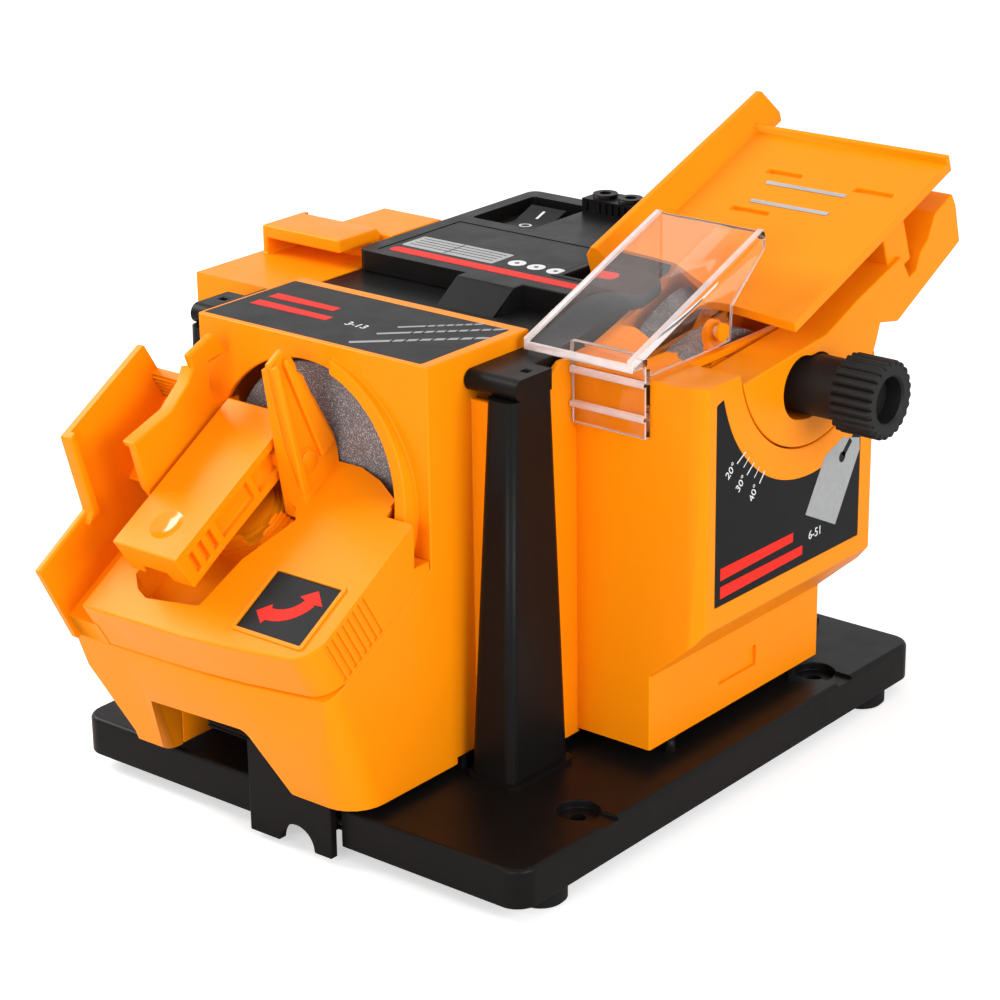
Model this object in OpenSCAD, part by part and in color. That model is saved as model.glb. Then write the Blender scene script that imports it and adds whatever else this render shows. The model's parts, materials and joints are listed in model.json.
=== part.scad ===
// Bench sharpener with three stations round one motor: drill bits in front,
// chisels and plane irons on the right, knives on the left.
// +X is right, +Y is back, +Z is up, and the origin is the centre of the
// screw pattern on the surface that the feet stand on.

/* [Base] */
// Width of the base plate along X
base_w = 204; // [200:1:212]
// Depth of the base plate along Y
base_d = 240; // [236:1:254]
// Height of the base plate
base_t = 14.4; // [13:0.2:15.4]
// Corner radius of the base plate
base_r = 8; // [5:0.5:10]
// Wall of the hollow base plate
base_wall = 3.2; // [2.4:0.2:4.2]
// Height of a rubber foot
foot_h = 6; // [5:0.5:8]
// Diameter of a rubber foot
foot_d = 18; // [14:0.5:19]
// Spacing of the bench screws along X
screw_x = 176; // [172:1:178]
// Spacing of the bench screws along Y
screw_y = 144; // [140:1:148]
// Diameter of a bench screw hole
screw_d = 5.5; // [4.5:0.1:6.5]

/* [Motor block] */
// Height of the lower deck above the bench
deck_z = 165; // [164:0.5:166]
// Height of the raised cover above the lower deck
cover_h = 8; // [6:0.5:9]
// Depth of the raised cover along Y
cover_d = 104.5; // [100:0.5:106]
// Wall of the motor housing
shell_wall = 3; // [2.4:0.2:3.6]
// Height of both wheel axes above the bench
axis_z = 119; // [118:0.5:120]
// Place of the motor axis along Y
axis_y = 22; // [21:0.5:23]
// Diameter of the motor shaft
shaft_d = 8; // [7:0.5:9]
// Outer diameter of the ball bearings
bearing_d = 22; // [20:0.5:24]
// Outer diameter of the stator
stator_d = 56; // [52:1:60]
// Diameter of the rotor core
rotor_d = 31; // [28:0.5:33]
// Number of teeth on each bevel gear
gear_teeth = 14; // [12:1:18]

/* [Drill station] */
// Width of the drill housing along X
drill_w = 103.7; // [102.5:0.1:104]
// Depth of the drill housing along Y, without its chin
drill_d = 53.5; // [52:0.5:54.5]
// Height of the top of the drill housing above the bench
drill_top = 170.5; // [169:0.5:172]
// Wall of the drill housing
drill_wall = 2.6; // [2.2:0.1:3]
// Slope of the head
head_slope = 31; // [30:0.5:32]
// Thickness of the head, across its slope
head_t = 20; // [18:0.5:21]
// Travel of the swinging head in degrees
head_swing = 15; // [8:1:15]
// Diameter of the drill wheel
drill_wheel_d = 82; // [78:0.5:83]
// Thickness of the drill wheel
drill_wheel_t = 12; // [9:0.5:13]
// Width of the clamp lever
lever_w = 29.5; // [28:0.5:30]
// Height of the clamp lever above the slope
lever_h = 20; // [18:0.5:21]

/* [Chisel station] */
// Depth of the chisel housing along Y
chisel_d = 105; // [103:1:107]
// Right side of the chisel housing
chisel_x1 = 108; // [107:0.5:109]
// Wall of the chisel housing
chisel_wall = 2.6; // [2.2:0.1:3]
// Radius of the round part of the swivel frame
swivel_r = 44; // [43:0.2:44.6]
// Travel of the swivel frame in degrees
swivel_travel = 20; // [10:1:20]
// Slope of the table at rest
table_slope = 20; // [19:0.5:21]
// Width of the table along X
table_w = 88.5; // [86:0.5:89]
// Length of the table up its slope
table_l = 105; // [100:1:107]
// Thickness of the table
table_t = 4; // [3.4:0.2:4.4]
// Sideways travel of the table
table_travel = 14; // [6:1:14]
// Diameter of the chisel wheel
chisel_wheel_d = 88; // [84:0.5:89]
// Thickness of the chisel wheel
chisel_wheel_t = 20; // [16:0.5:21]
// Diameter of the tilt knob
knob_d = 28; // [26:0.5:30]
// Number of grip ribs round the tilt knob
knob_ribs = 24; // [18:1:28]

/* [Knife station] */
// Depth of the knife housing along Y
knife_d = 99; // [96:1:102]
// Diameter of the knife wheel
knife_wheel_d = 70; // [66:0.5:72]
// Thickness of the knife wheel
knife_wheel_t = 10; // [8:0.5:11]

/* [Hidden] */
$fn = 48;
slack = 0.05;   // radial clearance of a running fit
gap = 0.5;      // clearance between pieces that move past each other
far = 400;      // longer than the machine, for cuts that run right through

// Base
base_z0 = foot_h;
base_z1 = foot_h + base_t;
base_top_t = 3.4;
foot_x = base_w / 2 - 9.5;
foot_y = base_d / 2 - 22;
// Motor block
block_x = [-57, 51];
block_y = [-32, 95];
deck_t = 4;
cover_x0 = -69;
cover_x1 = 60;
cover_y0 = 0;
cover_step_x = 13;
cover_step_y = 18;
cover_z1 = deck_z + cover_h;
switch_x = -48.5;
switch_y = 78;
// Drill station
spindle_x = -16;
drill_x0 = -65.7;
drill_x1 = drill_x0 + drill_w;
drill_y1 = block_y[0] - 1;
drill_y0 = drill_y1 - drill_d;
drill_z0 = 26;
drill_open_r = 43.9;
drill_face_y = drill_y0 + 7;
collar_r = 48.6;
collar_h = 8;
head_y = drill_y0 - 9.7;
head_z = axis_z - 1.1;
pivot_x = -34;
pivot_s = -10;
lever_x = -33.5;
lever_s = 8;
lever_pin_h = 10;
lever_pin_d = 5;
// Chisel station
chisel_x0 = 53;
chisel_y0 = -30;
chisel_y1 = chisel_y0 + chisel_d;
chisel_low_x = 87;
chisel_z0 = 26;
chisel_z1 = 161;
swivel_y = 35.5;
swivel_z = 169;
knob_y = 37;
knob_z = 146;
knob_stem_d = 21.6;
table_x1 = 110;
table_x0 = table_x1 - table_w;
table_y = 19.5;
table_z = 172.5;
guard_x = [41.5, 87];
guard_y = 9;
guard_z = 168;
// Knife station
knife_x = [-115, -69.5];
knife_y0 = -37.5;
knife_y1 = knife_y0 + knife_d;
knife_z0 = 26;
knife_z1 = 165;
knife_wheel_x0 = -96;

orange = [1, 0.59, 0.02];
black = [0.11, 0.11, 0.12];
steel = [0.72, 0.73, 0.75];
grit = [0.42, 0.42, 0.42];
copper = [0.75, 0.42, 0.2];

// ---------- Shapes used by several pieces ----------

// A block from its low and high corners
module span(x, y, z) translate([x[0], y[0], z[0]]) cube([x[1] - x[0], y[1] - y[0], z[1] - z[0]]);

// A rectangle with round corners
module rrect(w, d, r) {
    square([w - 2 * r, d], center = true);
    square([w, d - 2 * r], center = true);
    for (x = [-1, 1], y = [-1, 1]) translate([x * (w / 2 - r), y * (d / 2 - r)]) circle(r);
}

// A profile whose corners with a third number are arcs of that radius
function unit(v) = v / norm(v);
function flat(p) = [p[0], p[1]];
function arc_in(a, b, c) = let(u = unit(flat(a) - flat(b)), v = unit(flat(c) - flat(b)),
    half = acos(u * v) / 2, m = flat(b) + unit(u + v) * b[2] / sin(half),
    from = flat(b) + u * b[2] / tan(half) - m, to = flat(b) + v * b[2] / tan(half) - m,
    start = atan2(from[1], from[0]), turn = (atan2(to[1], to[0]) - start + 900) % 360 - 180,
    steps = ceil(abs(turn) / 15))
    [for (i = [0:steps]) m + b[2] * [cos(start + turn * i / steps), sin(start + turn * i / steps)]];
function rounded(p) = [for (i = [0:len(p) - 1]) for (q = len(p[i]) == 2 ? [p[i]] :
    arc_in(p[(i + len(p) - 1) % len(p)], p[i], p[(i + 1) % len(p)])) q];

// A profile in Y and Z, drawn along X, and one in X and Z, drawn along Y
module along_x(x) translate([x[0], 0, 0]) rotate([90, 0, 90]) linear_extrude(x[1] - x[0]) children();
module along_y(y) translate([0, y[1], 0]) rotate([90, 0, 0]) linear_extrude(y[1] - y[0]) children();

// Round bars along X and along Y, from one end to the other
module bar_x(x, d) translate([x[0], 0, 0]) rotate([0, 90, 0]) cylinder(h = x[1] - x[0], d = d);
module bar_y(y, d) translate([0, y[1], 0]) rotate([90, 0, 0]) cylinder(h = y[1] - y[0], d = d);

// The motor axis and the axis of the drill wheel
module at_motor() translate([0, axis_y, axis_z]) children();
module at_spindle() translate([spindle_x, 0, axis_z]) children();

// The four corners of a pattern
module at_corners(x, y) for (i = [-1, 1], j = [-1, 1]) translate([i * x, j * y, 0]) children();

// ---------- Base ----------

module base_plate() color(black) difference() {
    union() {
        // Pillars of the bench screws, down to the bench
        at_corners(screw_x / 2, screw_y / 2) cylinder(h = base_z1 - 3, d = screw_d + 2 * base_wall);
        difference() {
            base_outer();
            translate([0, 0, base_z0 - 1]) linear_extrude(base_t - base_top_t + 1)
                rrect(base_w - 2 * base_wall, base_d - 2 * base_wall, base_r - base_wall + 1);
        }
        intersection() {
            base_outer();
            union() {
                at_corners(screw_x / 2, screw_y / 2) cylinder(h = base_z1, d = 20);
                at_corners(foot_x, foot_y) cylinder(h = base_z1, d = foot_d + 2);
                for (x = [-60, -30, 30, 60]) span([x - 1, x + 1], [-base_d / 2, base_d / 2], [8, base_z1]);
                for (y = [-98, -36, 0, 36, 98]) span([-base_w / 2, base_w / 2], [y - 1, y + 1], [8, base_z1]);
                span([-23, 27], [-base_d / 2, -106], [base_z0, base_z1]);
            }
        }
        // Posts under the rims of the three housings
        for (p = [[drill_x1 - 1.5, -70], [drill_x0 + 1.5, -70], [chisel_low_x - 1.5, -16],
            [chisel_low_x - 1.5, 60], [knife_x[0] + 21.5, -20], [knife_x[0] + 21.5, 50]])
            translate([p[0], p[1], base_z1 - 1]) cylinder(h = drill_z0 - base_z1 + 1, d = 4);
    }
    at_corners(screw_x / 2, screw_y / 2) translate([0, 0, -1]) cylinder(h = far, d = screw_d);
    at_corners(screw_x / 2, screw_y / 2) translate([0, 0, base_z1 - 3]) cylinder(h = far, d = 15);
    // The channel from each screw to the near side
    for (i = [-1, 1], j = [-1, 1]) translate([i * (screw_x / 2 + base_w / 4), j * screw_y / 2, base_z1 - 1.2])
        translate([-base_w / 4, -4.5, 0]) cube([base_w / 2, 9, far]);
    span([latch_x[0] - 1.5, latch_x[1] + 1], [-far, latch_axis_y + 4.2], [0, far]);
    translate([0, latch_axis_y, latch_axis_z]) bar_x([latch_x[0] - 4, latch_x[1] + 3.5], latch_pin_d);
}

module base_outer() {
    edge = 1.6;
    translate([0, 0, base_z0]) linear_extrude(base_t - edge) rrect(base_w, base_d, base_r);
    hull() {
        translate([0, 0, base_z1 - edge - 0.02]) linear_extrude(0.02) rrect(base_w, base_d, base_r);
        translate([0, 0, base_z1 - edge / 3]) linear_extrude(0.02)
            rrect(base_w - edge * 0.6, base_d - edge * 0.6, base_r - edge * 0.3);
        translate([0, 0, base_z1 - 0.02]) linear_extrude(0.02)
            rrect(base_w - 2 * edge, base_d - 2 * edge, base_r - edge);
    }
}

module rubber_feet() color(black) at_corners(foot_x, foot_y) {
    cylinder(h = 1, d1 = foot_d - 2, d2 = foot_d);
    translate([0, 0, 1]) cylinder(h = foot_h - 1, d = foot_d);
}

// Spring latch that holds the drill housing down
latch_x = [-15, 23];
latch_y = -124;
latch_t = 3;
latch_axis_y = latch_y + 8.5;
latch_axis_z = 13;
latch_pin_d = 3;

module latch_tab() color(black) difference() {
    union() {
        span(latch_x, [latch_y, latch_y + latch_t], [2.5, 37]);
        // Knuckles on the hinge pin
        for (x = [latch_x[0] + 4, latch_x[1] - 12])
            along_x([x, x + 8]) {
                translate([latch_axis_y, latch_axis_z]) circle(d = 7);
                translate([latch_y + 1, latch_axis_z - 3.5]) square([latch_axis_y - latch_y - 1, 7]);
            }
        // Hook bar with a groove along it
        translate([0, latch_y + 7, 34.5]) bar_x([-38, latch_x[0] + 6], 5);
        span([latch_x[0], latch_x[0] + 6], [latch_y, latch_y + 7], [32, 37]);
    }
    translate([0, latch_y + 4.6, 34.5]) bar_x([-far, latch_x[0] - 2], 1.4);
    translate([7, 0, 2.5]) bar_y([-far, latch_y + latch_t + 1], 16);
    translate([0, latch_axis_y, latch_axis_z]) bar_x([-far, far], latch_pin_d + 2 * slack);
}

module latch_pin() color(steel) translate([0, latch_axis_y, latch_axis_z])
    bar_x([latch_x[0] - 4, latch_x[1] + 3.5], latch_pin_d);

// One tapered column, in front on the right
column_x = [41.5, 61];
column_y = [-73.5, -41];

module column_shape() {
    hull() {
        translate([(column_x[0] + column_x[1]) / 2, (column_y[0] + column_y[1]) / 2, base_z1])
            linear_extrude(0.1) rrect(column_x[1] - column_x[0], column_y[1] - column_y[0], 4);
        translate([(column_x[0] + column_x[1]) / 2 + 2.75, (column_y[0] + column_y[1]) / 2 - 1.25, 157.5])
            linear_extrude(0.1) rrect(12, 23, 4, $fn = 32);
    }
    translate([(column_x[0] + column_x[1]) / 2 + 1, (column_y[0] + column_y[1]) / 2 - 1, base_z1])
        linear_extrude(1.6) rrect(23, 34, 4);
}

// Four places, mirrored about the middle of the columns
module at_columns() for (i = [0, 1], j = [0, 1])
    translate([i * 2 * column_mid[0], j * 2 * column_mid[1], 0]) mirror([i, 0, 0]) mirror([0, j, 0])
        children();

column_mid = [-14, 20];

module corner_columns() color(black) difference() {
    at_columns() column_shape();
    // Notches for the side flanges of the drill housing and the chisel housing
    span([drill_x0 - 7.5, drill_x1 + 7.5], [-65, -61], [0, far]);
    span([chisel_x0 - 0.6, chisel_x0 + 3.2], [-47.6, -30], [0, far]);
}

// ---------- Motor block ----------

module motor_housing() color(black) difference() {
    union() {
        span(block_x, block_y, [base_z1, deck_z]);
        // Deck strip along the knife housing
        span([cover_x0, block_x[0] + 1], [block_y[0] - 0.4, cover_y0 + cover_d], [deck_z - 3.5, deck_z]);
        at_columns() deck_lug();
        // Deck between the drill and the chisel housing
        span([drill_x1 + 0.4, chisel_x0 - 0.9], [-52, block_y[0] + 1], [deck_z - 3.5, deck_z]);
    }
    difference() {
        span([block_x[0] + shell_wall, block_x[1] - shell_wall],
            [block_y[0] + shell_wall, block_y[1] - shell_wall], [0, deck_z - deck_t]);
        column_notch(shell_wall, far);
    }
    column_notch(0, deck_z - lug_h);
    // Service opening and way for the switch under the cover
    span([-50, 10], [8, 60], [deck_z - 10, far]);
    span([switch_x - 12, switch_x + 12], [switch_y - 15, switch_y + 15], [cover_z1 - 20, far]);
    // Ways for the shafts
    at_spindle() bar_y([-far, 0], 31);
    at_motor() bar_x([-far, far], bearing_d + 8);
    // Cooling slots in the back
    for (i = [-4:4]) span([i * 8 - 2, i * 8 + 2], [block_y[1] - 10, far], [50, 90]);
    translate([28, 0, 38]) bar_y([block_y[1] - 10, far], 10);
}

// The corner that the column at the back on the right stands in, grown by a wall
module column_notch(grow, top) span([column_x[0] - 1.2 - grow, far],
    [2 * column_mid[1] - column_y[1] - gap - grow, far], [0, top]);

// A lug of the deck that caps a column
lug_h = 7.4;

module deck_lug() {
    span([drill_x1 + 0.4, chisel_x0 - 0.9], [-52, block_y[0] - 5.8], [deck_z - 3.5, deck_z]);
    span([drill_x1 + 0.4, -28 - cover_x0], [-52, block_y[0] + 1], [deck_z - 3.5, deck_z]);
    difference() {
        along_x([drill_x1 + 0.4, 60]) {
            translate([-64.5, deck_z - lug_h / 2]) circle(d = lug_h);
            translate([-64.5, deck_z - lug_h]) square([16.2, lug_h]);
        }
        translate([55, -56, deck_z - 2]) linear_extrude(3) square(3, center = true);
    }
}

// The outline of the raised cover
module cover_outline(inset) {
    translate([(cover_x0 + cover_step_x) / 2, cover_y0 + cover_d / 2])
        rrect(cover_step_x - cover_x0 - 2 * inset, cover_d - 2 * inset, 4);
    translate([(cover_x0 + cover_x1) / 2, cover_y0 + cover_step_y / 2])
        rrect(cover_x1 - cover_x0 - 2 * inset, cover_step_y - 2 * inset, 4);
}

module motor_cover() color(black) difference() {
    union() {
        intersection() {
            translate([0, 0, deck_z]) linear_extrude(cover_h) cover_outline(0);
            along_y([-far, far]) polygon([[-far, 0], [-far, far], [cover_x1 - 12, far],
                [cover_x1 - 12, cover_z1], [cover_x1 - 5, cover_z1 - 2.6], [cover_x1, deck_z + 1],
                [cover_x1, 0]]);
        }
        // Ramp towards the drill housing
        along_x([spindle_x - 1, spindle_x + 25]) polygon([[-17, deck_z], [-5, cover_z1], [2, cover_z1],
            [2, deck_z]]);
    }
    // Hollow under the cover
    difference() {
        translate([0, 0, deck_z - 1]) linear_extrude(cover_h - 2.4 + 1) cover_outline(3);
        span([cover_x1 - 16, far], [-far, far], [0, far]);
        translate([switch_x, switch_y, 0]) linear_extrude(far) rrect(33, 42, 3);
    }
    // Recess of the rating plate
    span(rating_x, rating_y, [cover_z1 - 0.8, far]);
    span([rating_x[1] - 1, rating_x[1] + 37], [rating_y[0], cover_step_y - 3], [cover_z1 - 0.8, far]);
    // Well of the switch
    translate([switch_x, switch_y, 0]) linear_extrude(far) rrect(29, 38, 2);
}

rating_x = [-63, 10.5];
rating_y = [4.5, 52];

module rating_plate() color([0.32, 0.33, 0.34]) {
    span([rating_x[0] + 0.3, rating_x[1] - 0.7], [rating_y[0] + 0.3, rating_y[1] - 0.3],
        [cover_z1 - 0.8, cover_z1 - 0.2]);
    span([rating_x[1] - 0.7, rating_x[1] + 36.7], [rating_y[0] + 0.3, cover_step_y - 3.3],
        [cover_z1 - 0.8, cover_z1 - 0.2]);
}

module cable_entry() color(black) difference() {
    translate([28, 0, 38]) {
        bar_y([block_y[1] - shell_wall - 2, block_y[1] + 9], 9.8);
        bar_y([block_y[1] + 0.1, block_y[1] + 3], 15);
        bar_y([block_y[1] - shell_wall - 2.5, block_y[1] - shell_wall - 0.1], 13);
    }
    translate([28, 0, 38]) bar_y([0, far], 6.6);
}

// Block with a row of holes to read the size of a drill bit
module size_gauge() color(black) difference() {
    union() {
        span([-34, -9], [90, 103.5], [cover_z1, cover_z1 + 5.5]);
        for (x = [-27.5, -15.5]) translate([x, 96.5, cover_z1 + 5]) cylinder(h = 2, d = 9.5);
    }
    for (x = [-27.5, -15.5]) translate([x, 96.5, cover_z1 + 1]) cylinder(h = far, d = 4.5);
    for (x = [-31:3:-12]) span([x - 0.6, x + 0.6], [0, 90.7], [cover_z1 + 0.6, cover_z1 + 4.8]);
}

rocker_r = 12;

module switch_frame() color(black) difference() {
    union() {
        translate([switch_x, switch_y, deck_z]) linear_extrude(3) rrect(28, 36, 2);
        translate([switch_x, switch_y, deck_z - 10]) linear_extrude(12) rrect(21.6, 27.6, 1);
    }
    span([switch_x - 9, switch_x + 9], [switch_y - 12.5, switch_y + 12.5], [deck_z - 8, far]);
    translate([0, switch_y, rocker_z]) bar_x([switch_x - 10.2, switch_x + 10.2], 3 + 2 * slack);
}

rocker_z = deck_z + 0.6;

module switch_rocker() color(black) {
    translate([0, switch_y, rocker_z]) rotate([9, 0, 0]) {
        along_x([switch_x - 8.6, switch_x + 8.6]) polygon([[-11.5, 1], [-11.4, 5.4], [0, 3.2], [11.4, 5.4],
            [11.5, 1], [6, -6], [-6, -6]]);
    }
    translate([0, switch_y, rocker_z]) bar_x([switch_x - 10, switch_x + 10], 3);
}

// ---------- Motor and drive ----------

bracket_x = [[-51, -43], [40, 48]];

module bearing_brackets() color(black) difference() {
    for (x = bracket_x) along_x(x) difference() {
        union() {
            translate([axis_y, axis_z]) circle(d = bearing_d + 10);
            polygon([[axis_y - 30, base_z1], [axis_y + 30, base_z1], [axis_y + 15, axis_z],
                [axis_y - 15, axis_z]]);
        }
        polygon([[axis_y - 20, base_z1 + 6], [axis_y + 20, base_z1 + 6], [axis_y + 9, axis_z - 24],
            [axis_y - 9, axis_z - 24]]);
    }
    at_motor() bar_x([-far, far], bearing_d);
}

module motor_bearings() color(steel) at_motor() difference() {
    for (x = bracket_x) bar_x([x[0] + 0.5, x[1] - 0.5], bearing_d);
    bar_x([-far, far], shaft_d + 2 * slack);
    for (x = bracket_x) difference() {
        union() { bar_x([x[0], x[0] + 1.3], bearing_d - 4); bar_x([x[1] - 1.3, x[1]], bearing_d - 4); }
        bar_x([-far, far], shaft_d + 4);
    }
}

core_x = [8, 34];
commutator_r = 8;
brush_x = 1.5;

module stator() color([0.5, 0.5, 0.52]) {
    at_motor() difference() {
        bar_x(core_x, stator_d);
        bar_x([-far, far], rotor_d + 2);
        // Two windows for the field coils
        for (a = [0, 180]) rotate([a, 0, 0]) along_x([-far, far]) difference() {
            translate([-12, 0]) square([24, stator_d / 2 - 4]);
            circle(d = rotor_d + 7);
        }
    }
    // Feet that stand on the base
    for (y = [-1, 1]) difference() {
        span([core_x[0] + 4, core_x[1] - 4], [axis_y + y * 20 - 3, axis_y + y * 20 + 3],
            [base_z1, axis_z - 15]);
        at_motor() bar_x([-far, far], stator_d - 3);
    }
}

module field_coils() color(copper) at_motor() for (a = [0, 180]) rotate([a, 0, 0]) difference() {
    along_x([core_x[0] - 5, core_x[1] + 5]) intersection() {
        difference() {
            circle(d = stator_d - 9);
            circle(d = rotor_d + 8);
        }
        translate([-11.5, 0]) square([23, stator_d]);
    }
    along_x([core_x[0] - 0.2, core_x[1] + 0.2]) square([8, far], center = true);
}

module rotor() color([0.55, 0.5, 0.45]) at_motor() difference() {
    union() {
        bar_x([core_x[0], core_x[1]], rotor_d);
        bar_x([core_x[0] - 4, core_x[1] + 4], rotor_d - 10);
        bar_x([brush_x - 2.5, core_x[0] - 3], 2 * commutator_r);
    }
    bar_x([-far, far], shaft_d);
    for (i = [0:11]) rotate([i * 30, 0, 0]) along_x([core_x[0] - 0.1, core_x[1] + 0.1])
        translate([rotor_d / 2 - 1, 0]) square([3, 1.4], center = true);
}

shaft_x = [-99, 80];

module motor_shaft() color(steel) at_motor() bar_x(shaft_x, shaft_d);

module cooling_fan() color(black) at_motor() difference() {
    union() {
        bar_x([-39, -30], 16);
        bar_x([-39, -37], 50);
        for (i = [0:8]) rotate([i * 40, 0, 0]) span([-38, -31], [0, 1.6], [6, 24.5]);
    }
    bar_x([-far, far], shaft_d);
}

// Brush holders on posts, one on each side of the commutator
module carbon_brushes() color([0.3, 0.3, 0.3]) for (side = [-1, 1]) translate([brush_x, axis_y, 0]) {
    mirror([0, side < 0 ? 1 : 0, 0]) {
        span([-2, 2], [commutator_r + 0.3, 21], [axis_z - 3, axis_z + 3]);
        span([-3, 3], [20, 25], [base_z1, axis_z + 5]);
    }
}

// A straight bevel gear of 45 degrees, with its apex at the origin and its axis along +Z
bevel_module = 1.5;
bevel_w = 6;
bevel_phase = -gear_teeth / 4 - 0.5;

module bevel_gear(phase) difference() {
    r = gear_teeth * bevel_module / 2;
    union() {
        rotate_extrude() polygon([[0, r - bevel_w + 0.6], [r - bevel_w - 0.6, r - bevel_w + 0.6],
            [r - 1, r + 0.9], [r - 2.4, r + 2.3], [6.5, r + 2.3], [6.5, r + 3.6], [0, r + 3.6]]);
        for (i = [0:gear_teeth - 1]) rotate([0, 0, (i + phase) * 360 / gear_teeth]) bevel_tooth(r);
    }
    translate([0, 0, -1]) cylinder(h = 2 * r, d = shaft_d);
}

// A corner of a tooth at the radius r, at a height h over the pitch cone and half a thickness t
function tooth_corner(r, h, t) = [r + h * sqrt(0.5), t, r - h * sqrt(0.5)];

// One tooth that tapers to the apex
module bevel_tooth(r) {
    k = (r - bevel_w) / r;
    end = [[-1.9, -1.05], [-1.9, 1.05], [1.1, 0.42], [1.1, -0.42]];
    polyhedron(points = [for (f = [1, k]) for (p = end) tooth_corner(r * f, p[0] * f, p[1] * f)],
        faces = [[0, 1, 2, 3], [4, 7, 6, 5], [0, 4, 5, 1], [1, 5, 6, 2], [2, 6, 7, 3], [3, 7, 4, 0]]);
}

module motor_bevel() color(steel) translate([spindle_x, axis_y, axis_z]) rotate([0, 90, 0])
    bevel_gear(bevel_phase);
module spindle_bevel() color(steel) translate([spindle_x, axis_y, axis_z]) rotate([90, 0, 0])
    bevel_gear(0);

spindle_y = [drill_face_y + 0.6, axis_y - 5.5];
seat_y = [[-26, -18], [-3, 5]];

module drill_spindle() color(steel) at_spindle() {
    bar_y(spindle_y, shaft_d);
    bar_y([drill_face_y + drill_wheel_t, drill_face_y + drill_wheel_t + 5], 22);
}

module spindle_carrier() color(black) {
    difference() {
        union() {
            at_spindle() bar_y([seat_y[0][0], seat_y[1][1]], bearing_d + 6);
            along_y([seat_y[0][0] + 2, seat_y[1][1]])
                polygon([[spindle_x - 13, base_z1], [spindle_x + 13, base_z1], [spindle_x + 9, axis_z - 6],
                    [spindle_x - 9, axis_z - 6]]);
        }
        at_spindle() bar_y([-far, far], bearing_d);
        along_y([seat_y[0][0] + 6, seat_y[1][1] - 4])
            polygon([[-far, base_z1 + 5], [far, base_z1 + 5], [far, axis_z - 18], [-far, axis_z - 18]]);
    }
    // Web between both feet
    span([spindle_x - 2, spindle_x + 2], [seat_y[0][0] + 4, seat_y[1][1] - 2], [base_z1, axis_z - 15]);
}

module spindle_bearings() color(steel) at_spindle() difference() {
    for (y = seat_y) bar_y([y[0] + 0.5, y[1] - 0.5], bearing_d);
    bar_y([-far, far], shaft_d + 2 * slack);
}

// ---------- Drill station ----------

module drill_wheel() color(grit) at_spindle() difference() {
    bar_y([drill_face_y, drill_face_y + drill_wheel_t], drill_wheel_d);
    bar_y([-far, drill_face_y + 5], 22);
    bar_y([-far, far], shaft_d);
}

module drill_nut() color(steel) at_spindle() difference() {
    bar_y([drill_face_y + 0.4, drill_face_y + 5], 15);
    bar_y([-far, far], shaft_d);
}

chin_x0 = -77.5;
chin_y0 = -127;
chin_z0 = 23.5;
chin_lean = 19.8;
edge_lean = 12;
seam_wall = drill_wall * 1.3 * cos(head_slope);
// The height of the seam below the head
function seam_z(y) = head_z - (head_t + 0.3) / cos(head_slope) + (y - head_y) * tan(head_slope);
// The front edge of the head and the chin in plan, with the depth scaled by k and the corner moved out
function front_edge(k, more) = [[drill_x1 + more, (6.4 + more / 9) * k, 10.5], [-6, 1.5 * k, 200],
    [chin_x0 - 1, 0]];

// The chin: a block under the seam, cut by a leaning front and a slanted left side
module chin_block(inset) intersection() {
    along_x([-far, drill_x1 - inset]) polygon([[drill_y0 + 12, chin_z0 - (inset > 0 ? 1 : 0)],
        [-150, chin_z0 - (inset > 0 ? 1 : 0)], [-150, seam_z(-150) - inset * 1.3],
        [drill_y0 + 12, seam_z(drill_y0 + 12) - inset * 1.3]]);
    // Leaning front, and a steeper one that follows the edge of the head
    translate([0, chin_y0, chin_z0]) rotate([chin_lean, 0, 0]) translate([0.1 - inset, inset, -50])
        linear_extrude(200) polygon(rounded([[drill_x1, 120], [drill_x1, 0, 13], [chin_x0 - 1, 0],
            [chin_x0 - 1, 120]]));
    translate([0, head_y + head_s0 * cos(head_slope) + head_t * sin(head_slope), seam_z(-143)])
        rotate([edge_lean, 0, 0]) translate([-inset, inset, -80]) linear_extrude(200)
            polygon(rounded(concat([[drill_x1 + 5, 120]], front_edge(cos(head_slope), 5),
                [[chin_x0 - 1, 120]])));
    union() {
        span([drill_x0 + inset, drill_x1 + 1], [-200, drill_y0 + 20], [0, 200]);
        along_y([-200, drill_y0 - inset]) polygon([[0, chin_z0 - 5], [chin_side(chin_z0 - 5) + inset * 1.1,
            chin_z0 - 5], [chin_x0 + inset, 52.4], [chin_x0 + inset, 200], [0, 200]]);
    }
}

// The slanted left side of the chin
function chin_side(z) = chin_x0 + (52.4 - z) * 0.4625;

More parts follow.
